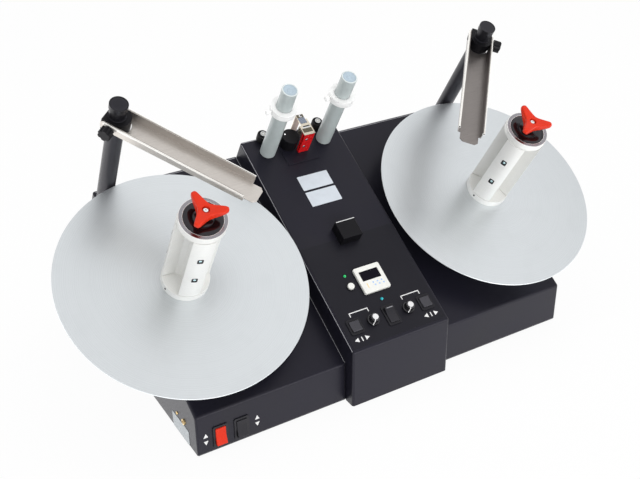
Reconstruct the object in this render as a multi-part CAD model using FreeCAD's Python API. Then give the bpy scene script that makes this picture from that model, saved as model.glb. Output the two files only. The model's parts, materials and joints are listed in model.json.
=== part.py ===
import FreeCAD, Part
import math
import os
from FreeCAD import Vector

# Motor driven reel-to-reel label counter, sizes in millimetres.
# World frame: +X to the right, +Y to the rear, +Z up, floor at Z = 0, X = 0 in the middle.
# Deck frame: x as the world, s up the slope from the front edge, n square to the deck.

# clearances
running_gap = 0.3
slide_gap = 0.35
cut_gap = 0.3
seam_gap = 0.3

# sheet metal of the console
sheet = 2.0
deck_angle = 31.5
foot_height = 4.0
wing_front_height = 73.0
housing_rise = 39.0
housing_front_stand = 21.8
lip_width = 14.0
foot_radius = 14.0
foot_taper = 1.0
foot_inset_x = 30.0
foot_front_y = 32.0
foot_rear_inset = 50.5

# spacing of the controls across the housing, which sets its width
speed_x = 34.5
direction_pitch = 34.3
housing_side_margin = 25.8
direction_x = speed_x + direction_pitch
housing_half_width = direction_x + housing_side_margin

# reels, which set the size of the deck
flange_radius = 200.0
flange_thickness = 2.0
flange_top = 50.0
reel_side_gap = 3.7
reel_front_gap = 1.6
deck_end_margin = 61.2
deck_rear_margin = 27.9
reel_x = housing_half_width + reel_side_gap + flange_radius
reel_s = reel_front_gap + flange_radius
half_length = reel_x + deck_end_margin
deck_length = reel_s + flange_radius + deck_rear_margin

# spindles and their bearings
spindle_radius = 12.0
spindle_shoulder = 3.5
bearing_wall = 16.0
bearing_taper = 4.0
bearing_foot_radius = 42.0
bearing_foot_height = 6.0
bearing_top = 44.0
bearing_neck_wall = 11.0
thrust_gap = 0.5

# motors
gearbox_side = 92.0
gearbox_height = 34.0
motor_radius = 40.0
motor_length = 100.0
sleeve_wall = 5.0
sleeve_socket_gap = 8.0
shaft_depth = 22.0
sleeve_floor = 3.0

# expanding chucks
jaw_radius = 37.2
jaw_apex = 14.4
jaw_flank_angle = 43.0
jaw_end_gap = 0.5
jaw_pocket_width = 6.0
jaw_pocket_height = 7.6
jaw_pocket_depth = 3.0
jaw_pocket_low = 62.0
jaw_pocket_pitch = 54.0
core_flat = 6.5
fin_half_width = 2.5
fin_reach = 27.0
left_reel_turn = 45.0
right_reel_turn = 0.0
base_ring_overhang = 0.7
base_ring_height = 12.0
chuck_height = 174.5
top_ring_height = 12.0
top_ring_inset = 1.0
top_disc_radius = 29.5
top_disc_thickness = 1.6
top_boss_radius = 15.5
top_boss_height = 1.2

# red knobs on the chucks
left_knob_turn = 12.0
right_knob_turn = 0.0
knob_neck_radius = 8.5
knob_neck_length = 7.0
knob_thickness = 15.0
knob_hub_radius = 11.5
knob_lobe_reach = 32.0
knob_lobe_radius = 4.6
knob_lobe_count = 3
knob_root_inset = 1.0
knob_tip_underside = 10.0
knob_tip_rise = 3.0
knob_recess_radius = 6.6
knob_recess_depth = 5.0
knob_screw_radius = 5.2
knob_screw_height = 2.8

# posts
post_inset = 16.0
post_radius = 14.0
post_wall = 3.0
post_open_depth = 60.0
post_top = 214.0
cap_height = 26.0
cap_crown_height = 9.0
cap_crown_overhang = 0.6
cap_neck_inset = 1.4
cap_dish_rim = 1.8
cap_dish_depth = 0.8
post_x = half_length - post_inset
post_s = deck_length - post_inset

# swing arms
arm_top = 212.0
arm_sheet = 1.5
arm_root_height = 18.4
arm_tip_height = 14.0
arm_length = 223.0
arm_tab_length = 19.0
arm_tab_half_width = 16.0
arm_tab_corner = 5.0
arm_end_corner = 4.5
arm_tail = 0.5
arm_floor_gap = 1.2
left_arm_azimuth = -51.0
right_arm_azimuth = -127.0
block_side_wall = 4.6
block_back_wall = 1.2
block_nose_wall = 8.2
block_low = 190.0
block_high = 213.4
pivot_n = 203.0
stud_radius = 4.0
stud_post_gap = 2.0
pin_head_height = 1.6
arm_width = 2 * (post_radius + running_gap + block_side_wall + slide_gap + arm_sheet)
block_half_width = 0.5 * arm_width - arm_sheet - slide_gap
block_front = post_radius + running_gap + block_nose_wall
block_back = post_radius + running_gap + block_back_wall
arm_back = block_back + arm_tail

# clamp knobs of the arms
clamp_knob_radius = 10.5
clamp_knob_length = 13.0
clamp_neck_radius = 6.0
clamp_neck_length = 4.0
clamp_groove_count = 6
clamp_groove_radius = 3.4
clamp_groove_offset = 1.6

# guide rollers and their collars
guide_x = 56.5
guide_rear_margin = 33.5
guide_radius = 13.7
guide_lift = 1.0
guide_top = 206.5
guide_shaft_radius = 6.0
guide_rim = 2.2
guide_dish_depth = 3.0
guide_cap_thickness = 4.0
guide_washer_inset = 2.0
collar_wall = 9.1
collar_low = 153.5
collar_high = 164.5
collar_screw_hole = 1.8
collar_screw_shank = 1.5
collar_screw_radius = 4.0
collar_screw_reach = 9.5
collar_screw_head = 7.0
guide_s = deck_length - guide_rear_margin
collar_radius = guide_radius + collar_wall

# short rollers behind the guides
short_roller_x = 55.2
short_roller_rear_margin = 5.0
short_roller_radius = 9.8
short_roller_height = 14.5
short_roller_lift = 1.0
short_pin_radius = 2.5
short_washer_radius = 4.6
short_head_radius = 5.0
short_head_height = 2.0

# sensor station, placed from the rear edge of the housing
plate_half_width = 32.0
plate_front_margin = 70.0
plate_rear_margin = 5.5
plate_thickness = 1.5
fork_left = -3.8
fork_right = 16.3
fork_front_margin = 50.8
fork_depth = 8.4
fork_height = 50.0
fork_front_jaw = 2.6
fork_slot = 2.5
fork_slot_floor = 5.0
bracket_sheet = 1.2
bracket_left = -5.4
bracket_right = 16.3
bracket_tab_left = 0.0
bracket_tab_right = 13.3
bracket_cap_length = 21.0
bracket_slot_margin = 3.0
bracket_slot_width = 1.6
bracket_waist_length = 13.0
bracket_waist_drop = 2.0
bracket_cheek_height = 14.0
bracket_rear_margin = 5.5
pedestal_x = -14.0
pedestal_rear_margin = 28.5
pedestal_radius = 15.8
pedestal_height = 24.5

# block at the rear of the control overlay
index_half_width = 19.0
index_front = 184.3
index_rear = 218.2
index_height = 20.5
index_chamfer = 0.8

# control overlay and counter
overlay_front = 4.0
overlay_rear = 197.0
overlay_side_margin = 4.6
overlay_thickness = 0.5
counter_half_width = 25.0
counter_front = 84.5
counter_rear = 133.5
counter_height = 6.0
counter_corner = 3.0
counter_panel_margin = 4.0
counter_body_depth = 14.0
display_half_width = 18.0
display_front = 107.0
display_rear = 125.0
display_recess = 2.0
display_sink = 0.6

# rockers: half width and half length of each body
sync_s = 38.5
sync_half_width = 10.0
sync_half_length = 16.0
direction_s = 39.4
direction_half_width = 10.5
direction_half_length = 11.5
front_half_width = 10.5
front_half_length = 17.5
power_inset = 39.0
sensor_switch_inset = 75.0
front_switch_z = 30.5
power_x = -half_length + power_inset
sensor_switch_x = -half_length + sensor_switch_inset
bezel_rim = 2.1
bezel_height = 1.8
bezel_corner = 2.0
switch_depth = 22.0
switch_wall = 1.5
switch_well_depth = 10.0
terminal_length = 5.0
terminal_width = 4.8
terminal_thickness = 0.8
rocker_low = 5.0
rocker_waist = 3.2
rocker_slope = 9.0
rocker_rest_tilt = 8.0

# speed knobs, button and lamps
speed_s = 39.8
speed_knob_radius = 10.5
speed_knob_height = 11.0
speed_skirt_height = 3.4
speed_skirt_taper = 0.8
speed_grip_inset = 1.6
speed_rib_depth = 0.7
speed_rib_count = 12
speed_shaft_radius = 3.0
speed_shaft_reach = 7.5
speed_shaft_hole = 4.0
speed_knob_lift = 0.6
reset_x = -41.0
reset_s = 107.0
reset_radius = 5.8
reset_barrel_radius = 6.8
reset_rim_radius = 7.6
reset_rim_height = 1.2
reset_depth = 12.0
reset_stroke_room = 7.0
reset_reach = 4.6
reset_tail = 4.5
run_led_x = -41.0
run_led_s = 128.5
sync_led_s = 70.0
led_radius = 3.0
led_dome_top = 3.2
led_body_top = 1.2
led_depth = 6.0
led_tip_inset = 1.4

# control board
board_side_margin = 10.6
board_front = 14.0
board_rear = 150.0
board_low = 8.0
board_thickness = 1.6
board_post_radius = 3.0
board_post_inset = 4.0
board_post_front = 64.0
pot_radius = 8.0
pot_height = 11.0
pot_leg_half_width = 3.5
pot_leg_depth = 2.0
board_part_height = 9.0

# power jack in the left end wall
jack_y = 46.8
jack_z = 40.0
jack_barrel_radius = 4.0
jack_flange_radius = 5.0
jack_flange_height = 1.8
jack_bore = 2.9
jack_depth = 12.0
jack_bore_depth = 9.0
jack_pin_radius = 1.1
jack_nut_radius = 6.5
jack_nut_height = 2.5

deck_front_z = foot_height + wing_front_height
tilt = math.radians(deck_angle)


def deck_point(s, n):
    y = s * math.cos(tilt) - n * math.sin(tilt)
    z = deck_front_z + s * math.sin(tilt) + n * math.cos(tilt)
    return y, z


def y_on_slope(s, z):
    return (s - (z - deck_front_z) * math.sin(tilt)) / math.cos(tilt)


def s_for_y(y, n):
    return (y + n * math.sin(tilt)) / math.cos(tilt)


def on_deck(shape):
    placed = shape.copy()
    placed.rotate(Vector(0, 0, 0), Vector(1, 0, 0), deck_angle)
    placed.translate(Vector(0, 0, deck_front_z))
    return placed


def box(x0, x1, y0, y1, z0, z1):
    return Part.makeBox(x1 - x0, y1 - y0, z1 - z0, Vector(x0, y0, z0))


def rod(radius, z0, z1, x=0.0, y=0.0):
    return Part.makeCylinder(radius, z1 - z0, Vector(x, y, z0))


def cone(r0, r1, z0, z1, x=0.0, y=0.0):
    return Part.makeCone(r0, r1, z1 - z0, Vector(x, y, z0))


def rod_x(radius, x0, x1, y, z):
    return Part.makeCylinder(radius, x1 - x0, Vector(x0, y, z), Vector(1, 0, 0))


def rod_y(radius, y0, y1, x, z):
    return Part.makeCylinder(radius, y1 - y0, Vector(x, y0, z), Vector(0, 1, 0))


def face_of(corners):
    return Part.Face(Part.makePolygon(corners + [corners[0]]))


def prism_x(points, x0, x1):
    return face_of([Vector(x0, y, z) for y, z in points]).extrude(Vector(x1 - x0, 0, 0))


def prism_y(points, y0, y1):
    return face_of([Vector(x, y0, z) for x, z in points]).extrude(Vector(0, y1 - y0, 0))


def prism_z(points, z0, z1):
    return face_of([Vector(x, y, z0) for x, y in points]).extrude(Vector(0, 0, z1 - z0))


def polar(radius, angle):
    return radius * math.cos(angle), radius * math.sin(angle)


def join(shapes):
    return shapes[0].fuse(shapes[1:]).removeSplitter()


def mirrored(shape):
    return shape.mirror(Vector(0, 0, 0), Vector(1, 0, 0))


def turned(shape, angle):
    placed = shape.copy()
    placed.rotate(Vector(0, 0, 0), Vector(0, 0, 1), angle)
    return placed


def moved(shape, x, y, z=0.0):
    placed = shape.copy()
    placed.translate(Vector(x, y, z))
    return placed


def pair_on_deck(shape, x, s):
    return Part.makeCompound([on_deck(moved(shape, -x, s)), on_deck(moved(shape, x, s))])


# ---------------------------------------------------------------- console
def console_profile(front_y, top_n, inset, z_low):
    s_rear = deck_length - inset
    points = [(front_y, z_low)]
    points.append(deck_point(s_for_y(front_y, top_n), top_n))
    points.append(deck_point(s_rear, top_n))
    points.append((y_on_slope(s_rear, z_low), z_low))
    return points


def wing():
    x_end = -half_length
    x_inner = -housing_half_width - seam_gap
    past = 1.0
    outer = prism_x(console_profile(0.0, 0.0, 0.0, foot_height), x_end, x_inner)
    room = console_profile(sheet, -sheet, sheet, foot_height - past)
    shell = outer.cut(prism_x(room, x_end + sheet, x_inner + past))
    low = foot_height + sheet
    high = low + sheet
    rear_y = y_on_slope(deck_length - sheet, low)
    front_lip = box(x_end + sheet, x_inner, sheet, sheet + lip_width, low, high)
    end_lip = box(x_end + sheet, x_end + sheet + lip_width, sheet, rear_y, low, high)
    rear_lip = box(x_end + sheet, x_inner, rear_y - lip_width, rear_y, low, high)
    shell = join([shell, front_lip, end_lip, rear_lip])
    hole_radius = spindle_radius + bearing_neck_wall + running_gap
    return shell.cut(on_deck(rod(hole_radius, -sheet - past, past, -reel_x, reel_s)))


def left_wing_cover():
    shell = wing()
    half_w = front_half_width + cut_gap
    half_l = front_half_length + cut_gap
    for x in (power_x, sensor_switch_x):
        shell = shell.cut(box(x - half_w, x + half_w, -sheet, 2 * sheet,
                              front_switch_z - half_l, front_switch_z + half_l))
    jack_hole = rod_x(jack_barrel_radius + cut_gap, -half_length - sheet, -half_length + 2 * sheet,
                      jack_y, jack_z)
    return shell.cut(jack_hole)


def panel_cuts(low, high):
    """Openings that the housing and the overlay share."""
    cuts = []
    for x, s, half_w, half_l in rocker_places():
        half_w = half_w + cut_gap
        half_l = half_l + cut_gap
        cuts.append(box(x - half_w, x + half_w, s - half_l, s + half_l, low, high))
    for x in (-speed_x, speed_x):
        cuts.append(rod(speed_shaft_hole, low, high, x, speed_s))
    cuts.append(rod(reset_barrel_radius + cut_gap, low, high, reset_x, reset_s))
    for x, s in led_places():
        cuts.append(rod(led_radius + cut_gap, low, high, x, s))
    half = counter_half_width - counter_panel_margin
    cuts.append(box(-half, half, counter_front + counter_panel_margin,
                    counter_rear - counter_panel_margin, low, high))
    return cuts


def center_housing():
    half = housing_half_width
    past = 1.0
    front_y = -housing_front_stand
    outer = prism_x(console_profile(front_y, housing_rise, 0.0, foot_height), -half, half)
    room = console_profile(front_y + sheet, housing_rise - sheet, sheet, foot_height - past)
    shell = outer.cut(prism_x(room, -half + sheet, half - sheet))
    low = foot_height + sheet
    pan_rear = y_on_slope(deck_length - sheet, low)
    shell = shell.cut(box(-half - past, half + past, 0.0, pan_rear, foot_height - past, low + cut_gap))
    front_lip = box(-half + sheet, half - sheet, front_y + sheet, front_y + sheet + lip_width,
                    low, low + sheet)
    shell = join([shell, front_lip])
    for cut in panel_cuts(housing_rise - sheet - past, housing_rise + past):
        shell = shell.cut(on_deck(cut))
    return shell


def base_pan():
    edge = sheet + seam_gap
    low = foot_height
    high = foot_height + sheet
    rear = y_on_slope(deck_length - edge, high) - seam_gap
    main = box(-half_length + edge, half_length - edge, edge, rear, low, high)
    half = housing_half_width - edge
    tongue = box(-half, half, -housing_front_stand + edge, edge + sheet, low, high)
    return join([main, tongue])


def foot_places():
    x = half_length - foot_inset_x
    rear_y = y_on_slope(deck_length, foot_height) - foot_rear_inset
    places = [(-x, foot_front_y), (x, foot_front_y), (-x, rear_y), (x, rear_y)]
    places += [(0.0, 0.0), (0.0, rear_y)]
    return places


def rubber_feet():
    feet = [cone(foot_radius - foot_taper, foot_radius, 0.0, foot_height, x, y) for x, y in foot_places()]
    return Part.makeCompound(feet)


def power_jack():
    wall = -half_length
    flange = rod_x(jack_flange_radius, wall - jack_flange_height, wall, jack_y, jack_z)
    barrel = rod_x(jack_barrel_radius, wall - jack_flange_height, wall + jack_depth, jack_y, jack_z)
    nut = rod_x(jack_nut_radius, wall + sheet, wall + sheet + jack_nut_height, jack_y, jack_z)
    bore = rod_x(jack_bore, wall - jack_depth, wall + jack_bore_depth, jack_y, jack_z)
    pin = rod_x(jack_pin_radius, wall, wall + jack_bore_depth, jack_y, jack_z)
    return join([join([flange, barrel, nut]).cut(bore), pin])


# ---------------------------------------------------------------- reels
def deck_bearings():
    boss_radius = spindle_radius + bearing_wall
    foot = rod(bearing_foot_radius, 0.0, bearing_foot_height)
    boss = cone(boss_radius + bearing_taper, boss_radius, bearing_foot_height, bearing_top)
    neck = rod(spindle_radius + bearing_neck_wall, -sheet, sheet)
    bore = rod(spindle_radius + running_gap, -2 * sheet, bearing_top + sheet)
    return pair_on_deck(join([foot, boss, neck]).cut(bore), reel_x, reel_s)


def reel_motors():
    half = gearbox_side * 0.5
    top = -sheet
    floor = top - gearbox_height
    bottom = top - shaft_depth - sleeve_floor
    gearbox = box(-half, half, -half, half, floor, top)
    drum = rod(motor_radius, floor - motor_length, floor + sheet)
    body = join([gearbox, drum])
    sleeve_radius = spindle_radius + sleeve_wall
    body = body.cut(rod(sleeve_radius + sleeve_socket_gap, bottom, top + sheet))
    sleeve = rod(sleeve_radius, bottom - sheet, top - running_gap)
    sleeve = sleeve.cut(rod(spindle_radius + running_gap, top - shaft_depth, top))
    return pair_on_deck(join([body, sleeve]), reel_x, reel_s)


def flange():
    low = flange_top - flange_thickness
    disc = rod(flange_radius, low, flange_top)
    return disc.cut(rod(spindle_radius + spindle_shoulder + cut_gap, low - sheet, flange_top + sheet))


def jaw_angles():
    return (90.0, 210.0, 330.0)


def jaw_span():
    low = flange_top + base_ring_height + jaw_end_gap
    high = flange_top + chuck_height - top_ring_height - jaw_end_gap
    return low, high


def chuck_core(low, high):
    """Three-sided core with a fin along each corner for a jaw to slide on."""
    corners = [polar(2.0 * core_flat, math.radians(angle)) for angle in jaw_angles()]
    pieces = [prism_z(corners, low, high)]
    for angle in jaw_angles():
        fin = box(0.0, fin_reach, -fin_half_width, fin_half_width, low, high)
        pieces.append(turned(fin, angle))
    return join(pieces)


def chuck_body():
    seat = flange_top
    ring_top = seat + base_ring_height
    head_low = seat + chuck_height - top_ring_height
    head_top = seat + chuck_height
    overlap = 1.0
    shaft = rod(spindle_radius, -sheet - shaft_depth + running_gap, seat + overlap)
    shoulder = rod(spindle_radius + spindle_shoulder, bearing_top + thrust_gap, seat + overlap)
    base = rod(jaw_radius + base_ring_overhang, seat, ring_top)
    core = chuck_core(ring_top - overlap, head_low + overlap)
    head = rod(jaw_radius - top_ring_inset, head_low, head_top)
    dish = rod(top_disc_radius + cut_gap, head_top - top_disc_thickness - overlap, head_top + overlap)
    return join([shaft, shoulder, base, core, head.cut(dish)])


def jaw():
    """Wedge with two flat flanks and a round back, slotted for its fin."""
    low, high = jaw_span()
    past = 1.0
    reach = jaw_radius + past
    side = (reach - jaw_apex) * math.tan(math.radians(jaw_flank_angle))
    wedge = prism_z([(jaw_apex, 0.0), (reach, -side), (reach, side)], low, high)
    half = fin_half_width + slide_gap
    body = wedge.common(rod(jaw_radius, low, high))
    body = body.cut(box(0.0, fin_reach + slide_gap, -half, half, low - past, high + past))
    for k in range(2):
        middle = flange_top + jaw_pocket_low + jaw_pocket_pitch * k
        body = body.cut(box(jaw_radius - jaw_pocket_depth, reach, -0.5 * jaw_pocket_width,
                            0.5 * jaw_pocket_width, middle - 0.5 * jaw_pocket_height,
                            middle + 0.5 * jaw_pocket_height))
    return body


def chuck_cap():
    top = flange_top + chuck_height
    disc = rod(top_disc_radius, top - top_disc_thickness - 1.0, top)
    return join([disc, rod(top_boss_radius, top - top_disc_thickness, top + top_boss_height)])


def knob_lobe(angle, low, high):
    """One lobe of the chuck's knob: a web tangent to the hub and a round tip."""
    reach = knob_lobe_reach - knob_lobe_radius
    root = knob_hub_radius - knob_root_inset
    spread = math.acos((root - knob_lobe_radius) / reach)
    tip_x, tip_y = polar(reach, angle)
    points = [(0.0, 0.0), polar(root, angle + spread)]
    for turn in (spread, -spread):
        dx, dy = polar(knob_lobe_radius, angle + turn)
        points.append((tip_x + dx, tip_y + dy))
    points.append(polar(root, angle - spread))
    return [prism_z(points, low, high), rod(knob_lobe_radius, low, high, tip_x, tip_y)]


def chuck_knob():
    """Hand knob whose three lobes rise towards their tips."""
    foot = flange_top + chuck_height + top_boss_height + running_gap
    low = foot + knob_neck_length
    high = low + knob_thickness
    tip_high = high + knob_tip_rise
    pieces = [rod(knob_hub_radius, foot, tip_high)]
    for k in range(knob_lobe_count):
        angle = math.radians(90.0 + 360.0 * k / knob_lobe_count)
        pieces += knob_lobe(angle, foot, tip_high)
    rim = knob_lobe_reach + 1.0
    side = [(0.0, foot), (knob_neck_radius, foot), (knob_neck_radius, low), (rim, low + knob_tip_underside)]
    side += [(rim, tip_high), (knob_hub_radius, high), (0.0, high)]
    face = face_of([Vector(radius, 0.0, height) for radius, height in side])
    body = join(pieces).common(face.revolve(Vector(0, 0, 0), Vector(0, 0, 1), 360.0))
    body = body.cut(rod(knob_recess_radius, high - knob_recess_depth, tip_high))
    screw_low = high - knob_recess_depth - 1.0
    return join([body, rod(knob_screw_radius, screw_low, high - knob_recess_depth + knob_screw_height)])


# ---------------------------------------------------------------- posts and arms
def arm_posts():
    tube = rod(post_radius, 0.0, post_top)
    return pair_on_deck(tube.cut(rod(post_radius - post_wall, -1.0, post_open_depth)), post_x, post_s)


def post_caps():
    top = post_top + cap_height
    crown_low = top - cap_crown_height
    crown_radius = post_radius + cap_crown_overhang
    skirt = cone(post_radius - cap_neck_inset, post_radius, post_top, crown_low)
    crown = rod(crown_radius, crown_low, top)
    crown = crown.cut(rod(crown_radius - cap_dish_rim, top - cap_dish_depth, top + cap_dish_depth))
    return pair_on_deck(join([skirt, crown]), post_x, post_s)


def arm_block(side):
    """Swivel block: bored for the post, with a stud hole towards the clamp knob and a pin opposite."""
    half = block_half_width
    past = 1.0
    nose_x = block_front - half
    body = join([box(-block_back, nose_x, -half, half, block_low, block_high),
                 rod(half, block_low, block_high, nose_x, 0.0)])
    body = body.cut(rod(post_radius + running_gap, block_low - past, block_high + past))
    stud_low = side * (post_radius + running_gap + past)
    stud_high = side * arm_width
    ends = sorted((stud_low, stud_high))
    stud_hole = rod_y(stud_radius + running_gap, ends[0], ends[1], 0.0, pivot_n)
    body = body.cut(stud_hole)
    pin_low = -side * (half - past)
    pin_high = -side * (0.5 * arm_width + pin_head_height)
    pin = rod_y(stud_radius, min(pin_low, pin_high), max(pin_low, pin_high), 0.0, pivot_n)
    return join([body, pin])


def arm_flange_outline():
    low = arm_top - arm_root_height
    tip_low = arm_top - arm_tip_height
    corner = arm_end_corner
    points = [(-arm_back, arm_top - corner), (-arm_back + corner, arm_top), (arm_length, arm_top)]
    points += [(arm_length, tip_low), (block_front, low), (-arm_back + corner, low)]
    points.append((-arm_back, low + corner))
    return points


def arm_floor_outline():
    half = arm_width * 0.5
    tab = arm_tab_half_width
    end_x = arm_length + arm_tab_length
    corner = arm_tab_corner
    root_x = block_front - block_half_width
    points = [(root_x, -half), (arm_length, -half), (arm_length, -tab), (end_x - corner, -tab)]
    points += [(end_x, -tab + corner), (end_x, tab - corner), (end_x - corner, tab), (arm_length, tab)]
    points += [(arm_length, half), (root_x, half)]
    return points


def swing_arm():
    """Sheet channel open at the top, its floor running on past the flanges as a tab."""
    half = arm_width * 0.5
    past = 1.0
    low = arm_top - arm_root_height
    slope = (arm_root_height - arm_tip_height) / (arm_length - block_front)
    end_x = arm_length + arm_tab_length
    end_low = low + slope * (end_x - block_front)
    nose_x = block_front - block_half_width
    floor_side = [(nose_x, low), (block_front, low), (end_x, end_low), (end_x, end_low + arm_sheet)]
    floor_side += [(block_front, low + arm_sheet), (nose_x, low + arm_sheet)]
    floor = prism_y(floor_side, -half, half)
    floor = floor.common(prism_z(arm_floor_outline(), low - past, arm_top))
    floor = floor.cut(rod(block_half_width + arm_floor_gap, low - past, arm_top, nose_x, 0.0))
    outline = arm_flange_outline()
    walls = [prism_y(outline, -half, -half + arm_sheet), prism_y(outline, half - arm_sheet, half)]
    arm = join(walls + [floor])
    return arm.cut(rod_y(stud_radius + running_gap, -half - past, half + past, 0.0, pivot_n))


def clamp_knob(side):
    face = 0.5 * arm_width + running_gap
    grip_low = face + clamp_neck_length
    grip_high = grip_low + clamp_knob_length
    overlap = 1.0
    neck = rod_y(clamp_neck_radius, face, grip_low + overlap, 0.0, pivot_n)
    grip = rod_y(clamp_knob_radius, grip_low, grip_high, 0.0, pivot_n)
    for k in range(clamp_groove_count):
        x, z = polar(clamp_knob_radius + clamp_groove_offset, 2 * math.pi * k / clamp_groove_count)
        grip = grip.cut(rod_y(clamp_groove_radius, grip_low - overlap, grip_high + overlap, x, pivot_n + z))
    stud = rod_y(stud_radius, post_radius + stud_post_gap, face + overlap, 0.0, pivot_n)
    body = join([grip, neck, stud])
    if side < 0:
        body = body.mirror(Vector(0, 0, 0), Vector(0, 1, 0))
    return body


def arm_placed(shape, side):
    azimuth = left_arm_azimuth if side < 0 else right_arm_azimuth
    return on_deck(moved(turned(shape, azimuth), side * post_x, post_s))


# ---------------------------------------------------------------- guides
def guide_shafts():
    base = housing_rise
    shaft = rod(guide_shaft_radius, base, guide_top - guide_dish_depth - guide_cap_thickness - running_gap)
    washer = rod(guide_radius - guide_washer_inset, base, base + guide_lift - running_gap)
    roller_top = base + short_roller_lift + short_roller_height
    pin = rod(short_pin_radius, base, roller_top + short_head_height)
    spacer = rod(short_washer_radius, base, base + short_roller_lift - running_gap)
    head = rod(short_head_radius, roller_top + running_gap, roller_top + short_head_height)
    guides = pair_on_deck(join([shaft, washer]), guide_x, guide_s)
    short_s = deck_length - short_roller_rear_margin
    pins = pair_on_deck(join([pin, spacer, head]), short_roller_x, short_s)
    return Part.makeCompound(guides.Solids + pins.Solids)


def guide_roller():
    low = housing_rise + guide_lift
    cap_low = guide_top - guide_dish_depth - guide_cap_thickness
    body = rod(guide_radius, low, guide_top)
    body = body.cut(rod(guide_shaft_radius + running_gap, low - 1.0, cap_low))
    return body.cut(rod(guide_radius - guide_rim, guide_top - guide_dish_depth, guide_top + 1.0))


def guide_collar():
    middle = (collar_low + collar_high) * 0.5
    body = rod(collar_radius, collar_low, collar_high)
    body = body.cut(rod(guide_radius + running_gap, collar_low - 1.0, collar_high + 1.0))
    return body.cut(rod_x(collar_screw_hole, -collar_radius - 1.0, -guide_radius, 0.0, middle))


def collar_screw():
    middle = (collar_low + collar_high) * 0.5
    tip = -collar_radius - collar_screw_reach
    head = rod_x(collar_screw_radius, tip, tip + collar_screw_head, 0.0, middle)
    shank = rod_x(collar_screw_shank, tip + 1.0, -guide_radius - running_gap, 0.0, middle)
    return join([head, shank])


def short_roller():
    low = housing_rise + short_roller_lift
    body = rod(short_roller_radius, low, low + short_roller_height)
    return body.cut(rod(short_pin_radius + running_gap, low - 1.0, low + short_roller_height + 1.0))


# ---------------------------------------------------------------- sensor station
def sensor_plate():
    front = deck_length - plate_front_margin
    rear = deck_length - plate_rear_margin
    low = housing_rise
    return on_deck(box(-plate_half_width, plate_half_width, front, rear, low, low + plate_thickness))


def fork_sensor():
    low = housing_rise + plate_thickness
    high = low + fork_height
    front = deck_length - fork_front_margin
    body = box(fork_left, fork_right, front, front + fork_depth, low, high)
    slot_front = front + fork_front_jaw
    slot = box(fork_left - 1.0, fork_right + 1.0, slot_front, slot_front + fork_slot,
               low + fork_slot_floor, high + 1.0)
    return on_deck(body.cut(slot))


def sensor_bracket():
    """Folded strip: a cap on the sensor, a lowered waist, a tab and a leg down to the plate."""
    foot = housing_rise + plate_thickness
    low = foot + fork_height
    high = low + bracket_sheet
    front = deck_length - fork_front_margin
    cap_rear = front + bracket_cap_length
    waist_rear = cap_rear + bracket_waist_length
    rear = deck_length - bracket_rear_margin
    drop = bracket_waist_drop
    cap = box(bracket_left, bracket_right, front, cap_rear, low, high)
    slot_rear = cap_rear - bracket_slot_margin
    slot = box(bracket_tab_left, bracket_tab_right, slot_rear - bracket_slot_width, slot_rear,
               low - 1.0, high + 1.0)
    waist = [(cap_rear - bracket_sheet, low), (waist_rear, low - drop), (waist_rear, high - drop)]
    waist.append((cap_rear - bracket_sheet, high))
    strip = prism_x(waist, bracket_tab_left - 1.0, bracket_right)
    tab = box(bracket_tab_left, bracket_tab_right, waist_rear - bracket_sheet, rear, low - drop, high - drop)
    leg = box(bracket_tab_left, bracket_tab_right, rear - bracket_sheet, rear, foot, high - drop)
    cheek_front = front + fork_depth + seam_gap
    cheek = [(cheek_front, high), (cheek_front, low - bracket_cheek_height)]
    cheek += [(cap_rear, low - bracket_cheek_height), (cap_rear, high)]
    side = prism_x(cheek, bracket_left, bracket_left + bracket_sheet)
    return on_deck(join([cap.cut(slot), strip, tab, leg, side]))


def sensor_pedestal():
    low = housing_rise + plate_thickness
    s = deck_length - pedestal_rear_margin
    return on_deck(rod(pedestal_radius, low, low + pedestal_height, pedestal_x, s))


def index_block():
    low = housing_rise
    high = low + index_height
    body = box(-index_half_width, index_half_width, index_front, index_rear, low, high)
    rim = [edge for edge in body.Edges if edge.BoundBox.ZMin > high - 0.1]
    return on_deck(body.makeChamfer(index_chamfer, rim))


# ---------------------------------------------------------------- switches
def rocker_places():
    places = [(0.0, sync_s, sync_half_width, sync_half_length)]
    for x in (-direction_x, direction_x):
        places.append((x, direction_s, direction_half_width, direction_half_length))
    return places


def led_places():
    return [(run_led_x, run_led_s), (0.0, sync_led_s)]


def switch_body(half_w, half_l):
    rim = bezel_rim
    bezel = box(-half_w - rim, half_w + rim, -half_l - rim, half_l + rim, 0.0, bezel_height)
    bezel = bezel.makeChamfer(bezel_corner, [edge for edge in bezel.Edges if edge.BoundBox.ZLength > 1.0])
    case = box(-half_w, half_w, -half_l, half_l, -switch_depth, bezel_height * 0.5)
    wall = switch_wall
    well = box(-half_w + wall, half_w - wall, -half_l + wall, half_l - wall, -switch_well_depth,
               bezel_height + 1.0)
    body = join([bezel, case]).cut(well)
    blade = box(-terminal_thickness * 0.5, terminal_thickness * 0.5, -terminal_width * 0.5,
                terminal_width * 0.5, -switch_depth - terminal_length, -switch_depth + 1.0)
    return join([body, blade])


def rocker_paddle(half_w, half_l, rest_tilt):
    """Rocker with a drum-shaped underside, hollowed on top and turned about X."""
    radius = half_l - switch_wall - slide_gap
    half = half_w - switch_wall - slide_gap
    drum = rod_x(radius, -half, half, 0.0, 0.0)
    body = drum.common(box(-half, half, -radius, radius, -rocker_low, radius))
    end_rise = radius * math.tan(math.radians(rocker_slope))
    above = radius + rocker_waist
    vee = [(-radius, rocker_waist + end_rise), (0.0, rocker_waist), (radius, rocker_waist + end_rise)]
    vee += [(radius, above), (-radius, above)]
    body = body.cut(prism_x(vee, -half_w, half_w))
    body.rotate(Vector(0, 0, 0), Vector(1, 0, 0), rest_tilt)
    return body


def on_housing(shape, x, s):
    return on_deck(moved(shape, x, s, housing_rise + overlay_thickness))


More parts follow.
